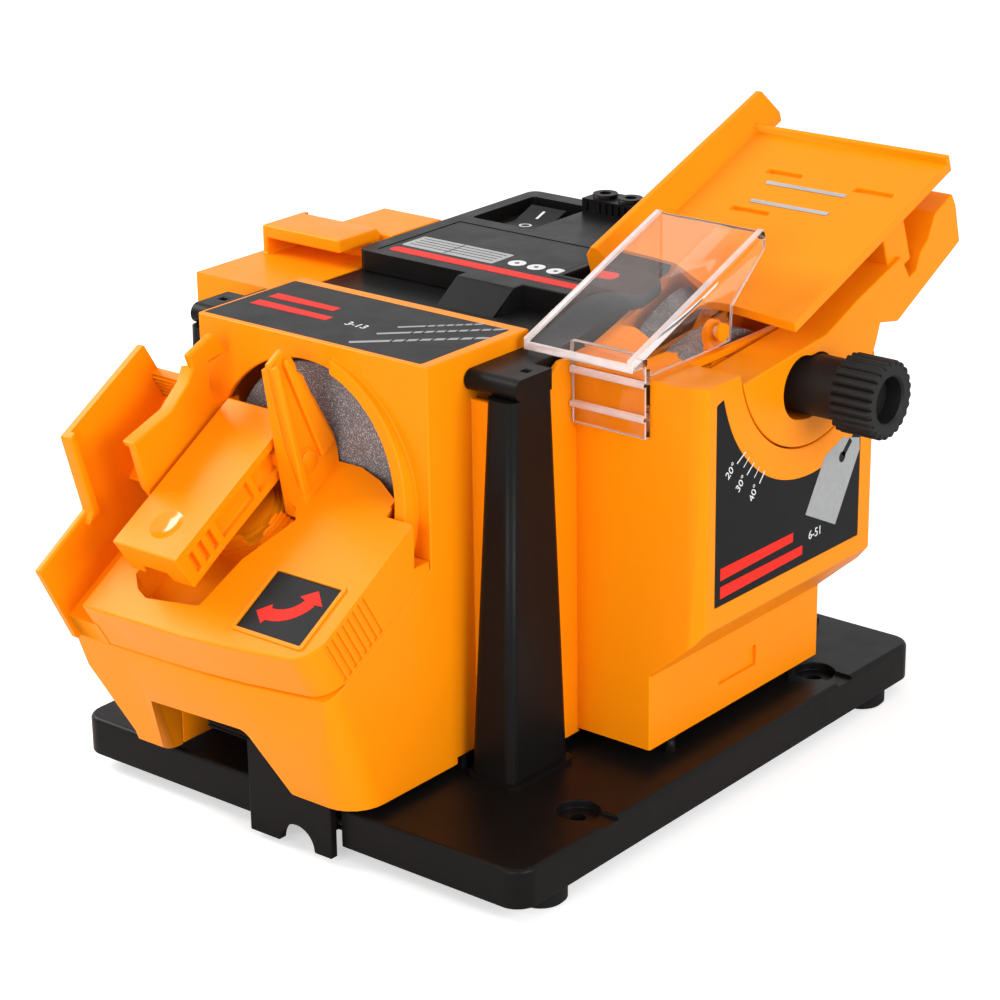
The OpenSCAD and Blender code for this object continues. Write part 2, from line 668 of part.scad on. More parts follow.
module drill_housing() color(orange) difference() {
    union() {
        difference() {
            union() {
                span([drill_x0, drill_x1], [drill_y0, drill_y1], [drill_z0, drill_top]);
                chin_block(0);
            }
            span([drill_x0 + drill_wall, drill_x1 - drill_wall], [drill_y0 + drill_wall, far],
                [0, drill_top - drill_wall]);
            chin_block(drill_wall);
            at_spindle() bar_y([-far, drill_y0 + drill_wall + 1], 2 * drill_open_r);
        }
        collar();
        // Side flanges that slide in the columns
        for (x = [[drill_x0 - 7, drill_x0 + 1], [drill_x1 - 1, drill_x1 + 7]])
            span(x, [-64, -61.5], [drill_z0, 154]);
        // Left wall of the finger gap, which runs back to the hook of the latch
        intersection() {
            chin_block(0);
            along_y([chin_y0 - 20, latch_y + 3.8]) difference() {
                finger_gap(drill_wall);
                finger_gap(0);
                translate([-20, 0]) square(far);
            }
        }
        // Catch under the hook of the latch
        span([-37, -26], [chin_y0 + 1, latch_y + 6.4], [28, 31.3]);
    }
    along_y([-far, drill_y0 - 30]) finger_gap(0);
    // Bore of the head pivot
    on_slope() translate([pivot_x, pivot_s, -head_t - 8]) cylinder(h = 12, d = head_pin_d);
    // Seat of the label
    translate([(drill_x0 + drill_x1) / 2 - 1.7, (drill_y0 + drill_y1) / 2 - 1.4, drill_top - 0.5])
        linear_extrude(1) rrect(drill_w - 5, drill_d - 7, 1);
}

// The outline of the finger gap in X and Z, grown by a wall
module finger_gap(wall) polygon(rounded([[-49.6 - wall, 0], [-49.6 - wall, 45.3 + wall],
    [-4.3 + wall / 2, 47.1 + wall, 5 + wall], [21.8 + wall * 1.2, 0]]));

// The raised rim round the right side of the wheel opening, higher towards the bottom
module collar() intersection() {
    at_spindle() difference() {
        bar_y([drill_y0 - collar_h - 1, drill_y0 + 1], 2 * collar_r);
        bar_y([-far, far], 2 * drill_open_r);
    }
    along_x([spindle_x + 13, drill_x1 - 0.2]) polygon([[drill_y0 + 1, axis_z - 14],
        [drill_y0 + 1, drill_top - 1], [drill_y0 - 1.8, drill_top - 1], [drill_y0 - collar_h, axis_z - 14]]);
}

module drill_label() color([0.22, 0.22, 0.23])
    translate([(drill_x0 + drill_x1) / 2 - 1.7, (drill_y0 + drill_y1) / 2 - 1.4, drill_top - 0.5])
        linear_extrude(0.5) rrect(drill_w - 5.4, drill_d - 7.4, 0.9);

// The head's own frame: x to the right, y up the slope, z out of the slope
module on_slope() translate([0, head_y, head_z]) rotate([head_slope, 0, 0]) children();
module to_slope() rotate([-head_slope, 0, 0]) translate([0, -head_y, -head_z]) children();
module turned(a) translate([pivot_x, pivot_s, 0]) rotate([0, 0, a]) translate([-pivot_x, -pivot_s, 0])
    children();

// The space in front of the drill housing that the head may fill
module head_room() {
    difference() {
        span([-far, far], [-far, drill_y0 - gap], [-far, far]);
        at_spindle() bar_y([drill_y0 - collar_h - gap, 0], 2 * (collar_r + gap));
        span([spindle_x + drill_open_r - 5, far], [drill_y0 - collar_h - gap, 0], [axis_z - 16, far]);
    }
    at_spindle() bar_y([-far, drill_face_y - 1.5], 2 * (drill_open_r - 4 * gap));
    span([-far, drill_x0 - gap], [-far, -74.6], [-far, far]);
}

module in_room() intersection() {
    children();
    for_swing(0) head_room();
    for_swing(head_swing / 4) head_room();
    for_swing(head_swing / 2) head_room();
    for_swing(head_swing * 3 / 4) head_room();
    for_swing(head_swing) head_room();
}

module for_swing(a) turned(a) to_slope() children();

head_pin_d = 7;
head_s0 = -66.3;

module head_slab() {
    translate([0, 0, -head_t]) linear_extrude(head_t)
        intersection() {
            translate([0, head_s0]) polygon(rounded(concat([[drill_x1, 120]], front_edge(1, 0),
                [[chin_x0 - 1, 120]])));
            polygon([[drill_x1 + 1, 0], [drill_x1 + 1, -80], [-62, -80], [-62, 24], [0, 24], [4, 17.5],
                [14, 14.5], [26, 8]]);
        }
    // Tray beside the head
    translate([0, 0, -head_t]) linear_extrude(10.5) polygon([[-60, head_s0], [-77, head_s0], [-77, 15], [-60, 15]]);
}

// Wings that carry the lever pin. The right one is a leaning flange with a web behind it
module right_wing() {
    translate([0, -3, 0]) rotate([90 - wing_lean, 0, 0]) translate([0, 0, -3.6]) linear_extrude(3.6)
        polygon([[-17.5, -6], [-5.5, -6], [-6.5, 0], [-8.5, 6], [-12, 20], [-14.5, 48.5], [-17.5, 48.5]]);
    translate([-7, 0, 0]) rotate([0, -7.6, 0]) along_x([-3, 0]) polygon([[-4, -4], [15.6, 45],
        [17, 47.5], [24, 47.5], [25.5, 44], [24.1, 25], [22.4, 8.7], [18, -4]]);
    translate([0, lever_s, lever_pin_h]) bar_x([-17.5, -8.4], lever_pin_d + 5);
}

wing_lean = 21.8;

module left_wing() {
    along_x([-53.5, -50.5]) polygon([[-25, -2], [-27, 20], [-22, 38], [-3, 34], [8, 36], [13, 39], [14, 44],
        [27, 42], [29, 20], [24, -2]]);
    along_x([-56.5, -50.5]) polygon([[-22, 38], [-3, 34], [8, 36], [13, 39], [12.4, 36.6], [8, 33.6],
        [-3, 31.6], [-22, 35.6]]);
}

module tray() {
    // Fence
    along_x([-77, -74]) polygon([[-68.5, -20], [-66, 13], [-38, 14], [-30, 42.5], [15, 42.5], [15, -20]]);
    along_x([-77, -71.5]) polygon([[-41.5, 11], [-38, 14], [-30, 42.5], [-27, 42.5], [-35, 11]]);
    // Back wall and its shelf
    span([-77, -52], [12, 15], [-15, 31]);
    for (h = [21:2:29]) translate([-76, 12, h]) rotate([0, 90, 0]) cylinder(h = 22, d = 1.6, $fn = 24);
    along_x([-77, -60]) polygon([[13, 20], [13, 17], [-16, 6], [-18, 8.6]]);
}

// Mound of rings below the drill tip
module ring_mound() for (i = [0:5])
    translate([pivot_x, pivot_s, -13]) cylinder(h = 1 + i * 2, r = 17.5 - i * 0.75);

pocket = [[-50.5, -48], [-45.2, -53.2], [-39.5, -55.6], [-17.3, -52.2], [-14.7, -30.1], [-6.2, -9.6],
    [-9.8, -4.9], [-17.5, -2], [-17.5, 40], [-50.5, 40]];

module drill_head() color(orange) on_slope() difference() {
    in_room() union() {
        difference() {
            head_slab();
            // Pocket under the lever
            translate([0, 0, -12]) linear_extrude(30) polygon(pocket);
            // Hollow from below
            translate([0, 0, -head_t - 1]) linear_extrude(6) polygon([[30, -6], [30, -50], [-20, -58],
                [-52, -58], [-52, -6]]);
        }
        intersection() {
            ring_mound();
            translate([0, 0, -20]) linear_extrude(40) polygon(pocket);
        }
        translate([pivot_x, pivot_s, -head_t]) cylinder(h = 9, d = 18);
        right_wing();
        left_wing();
        tray();
        // Rim round the arrow label
        translate([16.2, -42.7, -0.5]) linear_extrude(1.1) difference() {
            rrect(31.5, 27.5, 1.5);
            rrect(28.7, 24.7, 0.6);
        }
    }
    // Seat of the arrow label
    translate([16.2, -42.7, -0.5]) linear_extrude(5) rrect(28.7, 24.7, 0.6);
    // Groove that the drill bit lies in
    translate([lever_x, 0, -2.2]) rotate([0, 0, 0]) along_y([-60, 60]) polygon([[0, -4.5], [6, 2], [-6, 2]]);
    // Grip ribs on the right side
    for (i = [0:7]) translate([drill_x1 - 0.6, -31 - i * 3, -19]) cube([2, 1.5, 17.4]);
    // Bores of the lever pin and of the pivot
    translate([0, lever_s, lever_pin_h]) bar_x([-54, -8], lever_pin_d);
    translate([pivot_x, pivot_s, -head_t - 1]) cylinder(h = head_t + 1 - 4.5, d = head_pin_d + 2 * slack);
}

module arrow_label() color(black) on_slope() translate([16.2, -42.7, -0.5]) linear_extrude(0.5)
    rrect(28.4, 24.4, 0.5);

module gauge_leaf() color(steel) on_slope()
    along_x([-72, -62.3]) polygon([[-14, -9.5], [-16, 4.6], [-14.8, 4.8], [-12.8, -9.5]]);

module head_pivot() color(steel) on_slope() translate([pivot_x, pivot_s, -head_t - 0.3 - seam_wall]) {
    cylinder(h = head_t + 0.3 + seam_wall - 5, d = head_pin_d);
    translate([0, 0, -3]) cylinder(h = 3, d = 13);
}

lever_s0 = -50;
lever_s1 = 18;

module lever_body() along_x([lever_x - lever_w / 2, lever_x + lever_w / 2])
    polygon([[lever_s0, lever_h], [lever_s0 + 1, lever_h - 15], [lever_s0 + 20, lever_h - 14.5],
        [lever_s1 - 4, lever_h - 15], [lever_s1, lever_h - 6], [lever_s1, lever_h]]);

module clamp_lever() color(orange) on_slope() difference() {
    union() {
        difference() {
            lever_body();
            // Channel from below
            span([lever_x - lever_w / 2 + 5, lever_x + lever_w / 2 - 5], [lever_s0 + 3, lever_s1 + 1],
                [-1, lever_h - 3]);
            // Notch under the front
            along_y([lever_s0 - 1, lever_s0 + 4]) polygon([[lever_x - 9, 0], [lever_x - 7, lever_h - 11],
                [lever_x + 4, lever_h - 11], [lever_x + 6, 0]]);
            // Recesses in both sides
            for (m = [0, 1]) translate([lever_x, 0, 0]) mirror([m, 0, 0]) {
                for (i = [0:2]) span([lever_w / 2 - 2.4, lever_w], [lever_s0 + 5.5 + i * 5, lever_s0 + 7.7 + i * 5],
                    [lever_h - 12, lever_h - 3.5]);
                span([lever_w / 2 - 2.4, lever_w], [lever_s0 + 21, lever_s0 + 39], [lever_h - 11.5, lever_h - 3]);
                span([lever_w / 2 - 2.4, lever_w], [lever_s0 + 41.5, lever_s1 - 3], [lever_h - 11.5, lever_h - 3]);
            }
        }
        // Boss of the pin
        translate([0, lever_s, lever_pin_h]) for (x = [lever_x - lever_w / 2, lever_x + lever_w / 2 - 6])
            bar_x([x, x + 6], lever_pin_d + 5);
    }
    // Dimple for the thumb
    translate([lever_x + 0.5, -37.5, lever_h + 14.2]) rotate([90, 0, 0]) sphere(d = 31);
    translate([0, lever_s, lever_pin_h]) bar_x([-far, far], lever_pin_d + 2 * slack);
}

module lever_pin() color(steel) on_slope() translate([0, lever_s, lever_pin_h])
    bar_x([-53.5, -8.5], lever_pin_d);

// Torsion spring round the pin: closed turns with two legs
module lever_spring() color(steel) on_slope() translate([lever_x, lever_s, lever_pin_h]) {
    wire = 1.3;
    mean_r = lever_pin_d / 2 + 1.1;
    rotate([0, 90, 0]) rotate_extrude() {
        for (i = [-3:3]) translate([mean_r, i * wire]) circle(d = wire);
        translate([mean_r - wire / 3, -3 * wire]) square([wire * 2 / 3, 6 * wire]);
    }
    span([-3.6 - wire, -3.6], [-12, 0], [mean_r - wire / 2, mean_r + wire / 2]);
    span([3.6, 3.6 + wire], [0, 10], [mean_r - wire / 2, mean_r + wire / 2]);
}

// ---------- Chisel station ----------

web_x = [84.4, 87];

// The outer form of the chisel housing, inside the given wall
module chisel_form(inset) intersection() {
    along_y([chisel_y0 + inset, chisel_y1 - inset]) polygon([
        [chisel_x0 + inset, chisel_z0 - inset * 2], [chisel_low_x - inset, chisel_z0 - inset * 2],
        [chisel_low_x - inset, 54 + inset], [chisel_x1 - 4 - inset, 69 + inset],
        [chisel_x1 - inset, 74 + inset], [chisel_x1 - inset, chisel_z1 - inset],
        [chisel_x0 + inset, chisel_z1 - inset]]);
    linear_extrude(far) polygon([[0, chisel_y0 + inset], [chisel_x1 - 6 - inset / 2, chisel_y0 + inset],
        [chisel_x1 - inset, chisel_y0 + 3 + inset], [chisel_x1 - inset, far], [0, far]]);
}

module chisel_housing() color(orange) difference() {
    union() {
        difference() {
            chisel_form(0);
            chisel_form(chisel_wall);
        }
        // Flange of the back plate, with a cut corner
        along_x([chisel_x0, chisel_x0 + chisel_wall]) polygon([[-46.5, 24], [chisel_y0 + 1, 24],
            [chisel_y0 + 1, 163.5], [-38, 163.5], [-46.5, 158]]);
        // Wall between the wheel chamber and the swivel frame
        intersection() {
            chisel_form(0);
            span(web_x, [chisel_y0, chisel_y1], [50, 157]);
        }
        // Posts of the guard and the pivot of the swivel frame
        along_x([81, 84]) post_profile(guard_y, guard_z, 4);
        span([81, web_x[1]], [guard_y - 4, guard_y + 4], [140, 158]);
        along_x([chisel_x0, chisel_x0 + chisel_wall]) post_profile(swivel_y, swivel_z, 4.2);
    }
    // Mouth over the wheel, and the seat of the swivel frame
    span([chisel_x0 + chisel_wall, web_x[0] - 3.4], [-3, chisel_y1 - chisel_wall], [130, far]);
    span([chisel_x0 + chisel_wall, web_x[0]], [guard_y + 4, chisel_y1 - chisel_wall], [130, far]);
    translate([0, swivel_y, swivel_z]) bar_x([web_x[1], far], 2 * (swivel_r + gap));
    span([web_x[1], far], [swivel_y - swivel_r + 2, far], [157, far]);
    // Open way for the shaft, from below
    span([0, chisel_x0 + chisel_wall + 0.5], [axis_y - 15, axis_y + 15], [0, axis_z]);
    at_motor() bar_x([0, chisel_x0 + chisel_wall + 0.5], 30);
    // Bores of the pins and of the knob's stud
    translate([0, guard_y, guard_z]) bar_x([0, far], pin_d);
    translate([0, swivel_y, swivel_z]) bar_x([0, 70], pin_d);
    translate([0, knob_y, knob_z]) bar_x([web_x[0] - 1, far], stud_d);
    // Seat of the scale plate and the recess below it
    scale_shape(0.2, [chisel_x1 - 0.5, far]);
    span([chisel_low_x - 1.2, chisel_low_x + 1], [11.5, 34.5], [36, 44]);
}

pin_d = 4;
stud_d = 8;

module post_profile(y, z, r) {
    translate([y, z]) circle(r);
    translate([y - r, 150]) square([2 * r, z - 150]);
}

module scale_shape(grow, x) along_x(x) difference() {
    polygon([[-22 - grow, 82 - grow], [67 + grow, 81 - grow], [67 + grow, 130], [-16, 156],
        [-22 - grow, 154 + grow]]);
    translate([swivel_y, swivel_z]) circle(r = 55.5 - grow);
}

module scale_plate() color([0.2, 0.2, 0.21]) scale_shape(0, [chisel_x1 - 0.5, chisel_x1]);

module chisel_wheel() color(grit) at_motor() difference() {
    bar_x([61, 61 + chisel_wheel_t - 2.4], chisel_wheel_d);
    bar_x([61 + chisel_wheel_t - 7, far], 26);
    bar_x([-far, far], shaft_d);
}

module chisel_nuts() color(steel) at_motor() difference() {
    union() {
        bar_x([57.5, 61], 22);
        bar_x([61 + chisel_wheel_t - 7, 61 + chisel_wheel_t - 2], 17);
    }
    bar_x([-far, far], shaft_d);
}

frame_x = [90, chisel_x1];
slot_r = norm([knob_y - swivel_y, knob_z - swivel_z]);
slot_a = atan2(knob_z - swivel_z, knob_y - swivel_y);

// The table's own frame at rest: x to the right, y up the slope, z out of it
module on_table() translate([0, table_y, table_z]) rotate([table_slope, 0, 0]) children();

// A round slot about the pivot, in Y and Z
module kidney(width) {
    a = [slot_a - swivel_travel - 1.5, slot_a + 1.5];
    translate([swivel_y, swivel_z]) {
        for (e = a) rotate(e) translate([slot_r, 0]) circle(d = width);
        intersection() {
            difference() {
                circle(slot_r + width / 2 - slack);
                circle(slot_r - width / 2 + slack);
            }
            polygon([[0, 0], 60 * [cos(a[0]), sin(a[0])], 90 * [cos((a[0] + a[1]) / 2), sin((a[0] + a[1]) / 2)],
                60 * [cos(a[1]), sin(a[1])]]);
        }
    }
}

module frame_side() {
    // Round part in the seat of the housing
    intersection() {
        translate([swivel_y, swivel_z]) circle(swivel_r);
        polygon([[-20, 100], [90, 100], [90, 160], [62.6, 170], [43.3, 162.1], [-7.4, 157.3], [-20, 156]]);
    }
    // Arm and hook
    polygon([[43, 150], [43.3, 162.1], [62.6, 170], [90.8, 178.9], [96.8, 170], [101, 171.5], [104, 178],
        [108, 181], [113, 190], [124, 194.8], [127, 190], [130.8, 175.7], [89.7, 155.4], [78.2, 157.7],
        [75.4, 150.8]]);
}

module swivel_frame() color(orange) difference() {
    union() {
        along_x(frame_x) frame_side();
        on_table() {
            // Rail that the table slides on, its step up from the arm, and the left cheek
            along_x([56.3, frame_x[1] - 2]) rail_profile(0);
            span([frame_x[0], frame_x[1] - 2], [rail_u[0] + 3, rail_u[1] - 3], [-24, -8]);
            along_x([56.3, 60]) polygon([[11.5, -5.6], [16, -5.6], [46, -12.6], [rail_u[1] - 3, -12.6],
                [rail_u[1] - 3, -18], [rail_u[0] - 8, -18], [14, -13], [10.5, -12]]);
        }
        translate([0, swivel_y, swivel_z]) bar_x([56.3, 60], 8.4);
    }
    along_x([97, far]) kidney(knob_stem_d + 2 * gap);
    along_x([0, far]) kidney(stud_d + 2 * gap);
    translate([0, swivel_y, swivel_z]) bar_x([50, 70], pin_d + 2 * slack);
}

rail_u = [60, 80];

// The T-shaped rail under the table, in the table's frame, grown by a clearance
module rail_profile(grow) {
    translate([rail_u[0] - grow, -8 - grow]) square([rail_u[1] - rail_u[0] + 2 * grow, 8 - table_t - 0.4 + 2 * grow]);
    translate([rail_u[0] + 3 - grow, -14]) square([rail_u[1] - rail_u[0] - 6 + 2 * grow, 8]);
}

module swivel_pins() color(steel) translate([0, swivel_y, swivel_z]) bar_x([chisel_x0, 60], pin_d);

module chisel_table() color(orange) on_table() difference() {
    union() {
        translate([0, 0, -table_t]) linear_extrude(table_t) polygon([[table_x1, 0], [table_x1, table_l],
            [table_x0, table_l], [table_x0, 9], [table_x0 + 7, 8.3]]);
        // Fence on the left with three lugs
        along_y([8.5, table_l + 13]) polygon([[table_x0 - 4.5, -table_t], [table_x0 - 4.5, 4],
            [table_x0 - 1.5, 8], [table_x0 + 1, 8], [table_x0 + 7.5, 0], [table_x0 + 7.5, -table_t]]);
        for (u = [34, 66, 98]) span([table_x0 - 7.5, table_x0 - 3], [u - 4, u + 4], [-table_t, 2]);
        // Rim at the back
        span([table_x0, table_x1], [table_l - 2.5, table_l], [-table_t, 2.6]);
        // Lips that hold the rail
        along_x([44, frame_x[1] - 8 - table_travel]) difference() {
            translate([rail_u[0] - 4, -11.6]) square([rail_u[1] - rail_u[0] + 8, 10]);
            rail_profile(gap);
            translate([rail_u[0] + 2.5, -far]) square([rail_u[1] - rail_u[0] - 5, far - 8]);
            translate([rail_u[0] - gap, -table_t - 4]) square([rail_u[1] - rail_u[0] + 2 * gap, 4]);
        }
    }
    for (s = table_recesses) span([s[0], s[1]], [s[2] - 1.3, s[2] + 1.3], [-2, far]);
    for (s = table_slots) span([s[0], s[1]], [s[2] - 1, s[2] + 1], [-1.4, far]);
}

table_recesses = [[47, 62, 81], [85.5, 101.5, 79], [47.5, 63.5, 56]];
table_slots = [[51, 85, 74], [52, 85, 62]];

module table_strips() color(steel) on_table() for (s = table_slots)
    span([s[0], s[1]], [s[2] - 1, s[2] + 1], [-1.4, 0]);

module tilt_knob() color(black) translate([0, knob_y, knob_z]) difference() {
    union() {
        bar_x([97.4, 122], knob_stem_d);
        bar_x([122, 138], knob_d - 1.8);
        for (i = [0:knob_ribs - 1]) rotate([i * 360 / knob_ribs, 0, 0])
            translate([0, 0, knob_d / 2 - 1.3]) bar_x([122.5, 137.5], 2.6, $fn = 24);
    }
    bar_x([131, far], 16);
    bar_x([-far, 120], stud_d + 2 * slack);
}

module knob_stud() color(steel) translate([0, knob_y, knob_z]) difference() {
    union() {
        bar_x([web_x[0], 119.5], stud_d);
        bar_x([web_x[1], web_x[1] + 1.6], 14);
    }
    translate([119, 0, 0]) bar_x([0, 2], 3);
}

module guard_profile() polygon([[-40.5, 165.8], [-40.5, 168.8], [35, 197.2], [36, 194.4]]);

module wheel_guard() color([0.93, 0.8, 0.78, 0.35]) difference() {
    union() {
        along_x(guard_x) guard_profile();
        // Thick edges
        along_x([guard_x[0], guard_x[0] + 2.4]) polygon([[-40.5, 165.8], [-40.5, 170], [34.6, 198.2],
            [36, 194.4]]);
        // Right side with its ear
        along_x([guard_x[1] - 2.4, guard_x[1]]) {
            polygon([[-40.5, 166.4], [-40.5, 170], [34.6, 198.2], [36, 191], [17, 175.5], [16, 163],
                [guard_y - 4, 162.4], [-30, 162.4], [-31, 166]]);
        }
        // Front skirt with its ribs
        skirt_x = [chisel_x0 + chisel_wall + gap, guard_x[1]];
        span(skirt_x, [-33.2, chisel_y0 - 0.7], [141, 168.6]);
        for (z = [147, 159]) span(skirt_x, [-34.6, -33], [z, z + 2]);
    }
    translate([0, guard_y, guard_z]) bar_x([0, far], pin_d + 2 * slack);
}

module guard_pin() color(orange) translate([0, guard_y, guard_z]) {
    bar_x([81, guard_x[1]], pin_d);
    bar_x([guard_x[1] + 0.3, guard_x[1] + 1.8], pin_d + 2.4);
    bar_x([guard_x[1] - 0.1, guard_x[1] + 0.4], pin_d);
}

// ---------- Knife station ----------

module knife_form(inset) along_y([knife_y0 + inset, knife_y1 - inset]) polygon([
    [knife_x[1] - inset, knife_z0 - inset * 2], [knife_x[0] + 20 + inset, knife_z0 - inset * 2],
    [knife_x[0] + 20 + inset, 54 + inset], [knife_x[0] + 4 + inset, 69 + inset],
    [knife_x[0] + inset, 74 + inset], [knife_x[0] + inset, knife_z1 - inset],
    [knife_x[1] - inset, knife_z1 - inset]]);

module knife_housing() color(orange) difference() {
    union() {
        difference() {
            knife_form(0);
            knife_form(2.6);
        }
        // Shelf with a gap below it, where a scissor blade is laid
        along_x([-113, -74]) polygon([[-4, 171], [-4, 176], [17, 176], [19, 174], [19, knife_z1 - 1],
            [14, knife_z1 - 1], [14, 171]]);
        span([-113, -110.5], [-4, 19], [knife_z1 - 1, 176]);
    }
    span([-98, -84], [22.5, 48], [knife_z1 - 10, far]);
    for (y = [28, 43]) translate([-77, y, knife_z1 - 5]) cylinder(h = 15, d = screw_stem_d);
    // Way for the shaft
    span([knife_x[1] - 3, 0], [axis_y - 15, axis_y + 15], [0, axis_z]);
    at_motor() bar_x([knife_x[1] - 3, 0], 30);
}

screw_stem_d = 3.2;

// Guide block with a smooth top and a wedge-shaped slot that opens to the left
module knife_guides() color(orange) difference() {
    span([-99, -70], [21, 50], [knife_z1, knife_z1 + 8]);
    along_y([25, 46]) polygon([[-99.1, knife_z1 + 1.4], [-99.1, knife_z1 + 6], [-90, knife_z1 + 3.5],
        [-90, knife_z1 + 2.4]]);
    span([-97, -86], [25, 46], [0, knife_z1 + 3]);
    for (y = [28, 43]) translate([-77, y, 0]) cylinder(h = knife_z1 + 5.4, d = screw_stem_d);
}

module guide_screws() color(steel) for (y = [28, 43]) translate([-77, y, knife_z1]) {
    translate([0, 0, -4.6]) cylinder(h = 2, d = 6);
    translate([0, 0, -4]) cylinder(h = 9, d = screw_stem_d);
}

module knife_wheel() color(grit) at_motor() difference() {
    bar_x([knife_wheel_x0, knife_wheel_x0 + knife_wheel_t], knife_wheel_d);
    bar_x([-far, far], shaft_d);
}

module knife_nuts() color(steel) at_motor() difference() {
    union() {
        bar_x([knife_wheel_x0 - 3.5, knife_wheel_x0], 16);
        bar_x([knife_wheel_x0 + knife_wheel_t, knife_wheel_x0 + knife_wheel_t + 4], 22);
    }
    bar_x([-far, far], shaft_d);
}

base_plate();
rubber_feet();
latch_tab();
latch_pin();
corner_columns();
motor_housing();
motor_cover();
rating_plate();
cable_entry();
size_gauge();
switch_frame();
switch_rocker();
bearing_brackets();
motor_bearings();
stator();
field_coils();
rotor();
motor_shaft();
cooling_fan();
carbon_brushes();
motor_bevel();
spindle_bevel();
drill_spindle();
spindle_carrier();
spindle_bearings();
drill_housing();
drill_label();
drill_wheel();
drill_nut();
drill_head();
arrow_label();
gauge_leaf();
head_pivot();
clamp_lever();
lever_pin();
lever_spring();
chisel_housing();
scale_plate();
chisel_wheel();
chisel_nuts();
swivel_frame();
swivel_pins();
chisel_table();
table_strips();
tilt_knob();
knob_stud();
wheel_guard();
guard_pin();
knife_housing();
knife_guides();
guide_screws();
knife_wheel();
knife_nuts();
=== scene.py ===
# Finish and fine detail of a bench sharpener, built round its solid model.
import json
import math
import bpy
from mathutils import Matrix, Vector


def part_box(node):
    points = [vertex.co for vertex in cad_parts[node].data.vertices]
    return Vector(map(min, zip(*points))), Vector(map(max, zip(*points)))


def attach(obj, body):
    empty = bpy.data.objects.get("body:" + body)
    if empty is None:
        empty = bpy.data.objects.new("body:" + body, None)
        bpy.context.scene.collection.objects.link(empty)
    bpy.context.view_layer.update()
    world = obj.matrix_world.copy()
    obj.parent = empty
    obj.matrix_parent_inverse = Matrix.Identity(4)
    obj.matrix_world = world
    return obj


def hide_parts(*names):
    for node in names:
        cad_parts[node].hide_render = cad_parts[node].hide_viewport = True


bl_info = {
    "name": "Bench Sharpener Finish",
    "version": (1, 0, 0),
    "blender": (4, 5, 0),
    "location": "3D View > Sidebar > Sharpener",
    "description": "Mouldings, grinding wheels, printed marks and studio for a bench sharpener",
    "category": "Object",
}

import bmesh
import bpy
from mathutils import Matrix, Vector

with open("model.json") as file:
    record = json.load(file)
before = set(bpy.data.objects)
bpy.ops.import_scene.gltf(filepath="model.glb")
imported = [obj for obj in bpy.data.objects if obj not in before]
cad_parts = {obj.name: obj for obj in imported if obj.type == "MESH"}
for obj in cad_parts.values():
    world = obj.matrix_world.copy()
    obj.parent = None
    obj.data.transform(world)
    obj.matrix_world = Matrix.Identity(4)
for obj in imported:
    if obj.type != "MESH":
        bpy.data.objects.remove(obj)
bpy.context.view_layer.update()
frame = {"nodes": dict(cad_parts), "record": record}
MM = 0.001


def shift(x, y, z=0.0):
    """A move in millimetres."""
    return Matrix.Translation((x * MM, y * MM, z * MM))


def turn(angle, axis):
    """A turn in degrees about an axis."""
    return Matrix.Rotation(math.radians(angle), 4, axis)


def top_of(node):
    """The level plane on top of a node."""
    return Matrix.Translation((0, 0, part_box(node)[1][2]))


# The upper plane of the swinging head, with its local Y up the slope
HEAD_SLOPE = shift(0, -96.2, 117.9) @ turn(31, "X")
# The outer side of the chisel housing, with its local X along +Y and its local Y along +Z
PLATE_SIDE = Matrix(((0, 0, 1, 0.108), (1, 0, 0, 0), (0, 1, 0, 0), (0, 0, 0, 1)))


# ---------- Materials ----------

# The colour sockets of a Mix node
MIX_FIRST, MIX_SECOND, MIX_RESULT = 6, 7, 2


def new_material(name):
    """An empty node material with its principled shader."""
    mat = bpy.data.materials.new(name)
    mat.use_nodes = True
    return mat, mat.node_tree, mat.node_tree.nodes["Principled BSDF"]


def add_node(tree, kind, **settings):
    """A node of that kind, with its settings and the values of its sockets."""
    node = tree.nodes.new(kind)
    for key, value in settings.items():
        if hasattr(node, key):
            setattr(node, key, value)
        else:
            node.inputs[key.replace("_", " ")].default_value = value
    return node


def object_space(tree):
    return add_node(tree, "ShaderNodeTexCoord").outputs["Object"]


def add_noise(tree, scale, detail=2.0, roughness=0.5):
    node = add_node(tree, "ShaderNodeTexNoise", Scale=scale, Detail=detail, Roughness=roughness)
    tree.links.new(object_space(tree), node.inputs["Vector"])
    return node.outputs["Fac"]


def add_range(tree, source, low, high, start=0.3, end=0.7):
    """source, from start to end, spread from low to high."""
    node = tree.nodes.new("ShaderNodeMapRange")
    tree.links.new(source, node.inputs["Value"])
    for key, value in (("From Min", start), ("From Max", end), ("To Min", low), ("To Max", high)):
        node.inputs[key].default_value = value
    return node.outputs["Result"]


def add_tint(tree, factor, first, second):
    """first where the factor is 0 and second where it is 1."""
    node = tree.nodes.new("ShaderNodeMix")
    node.data_type = "RGBA"
    tree.links.new(factor, node.inputs["Factor"])
    node.inputs[MIX_FIRST].default_value = (*first, 1)
    node.inputs[MIX_SECOND].default_value = (*second, 1)
    return node.outputs[MIX_RESULT]


def add_bump(tree, shader, height, depth):
    """Relief of that depth in metres, from a height between 0 and 1."""
    node = add_node(tree, "ShaderNodeBump", Strength=1.0, Distance=depth)
    tree.links.new(height, node.inputs["Height"])
    tree.links.new(node.outputs["Normal"], shader.inputs["Normal"])


def shaded(colour, amount):
    return tuple(c * amount for c in colour)


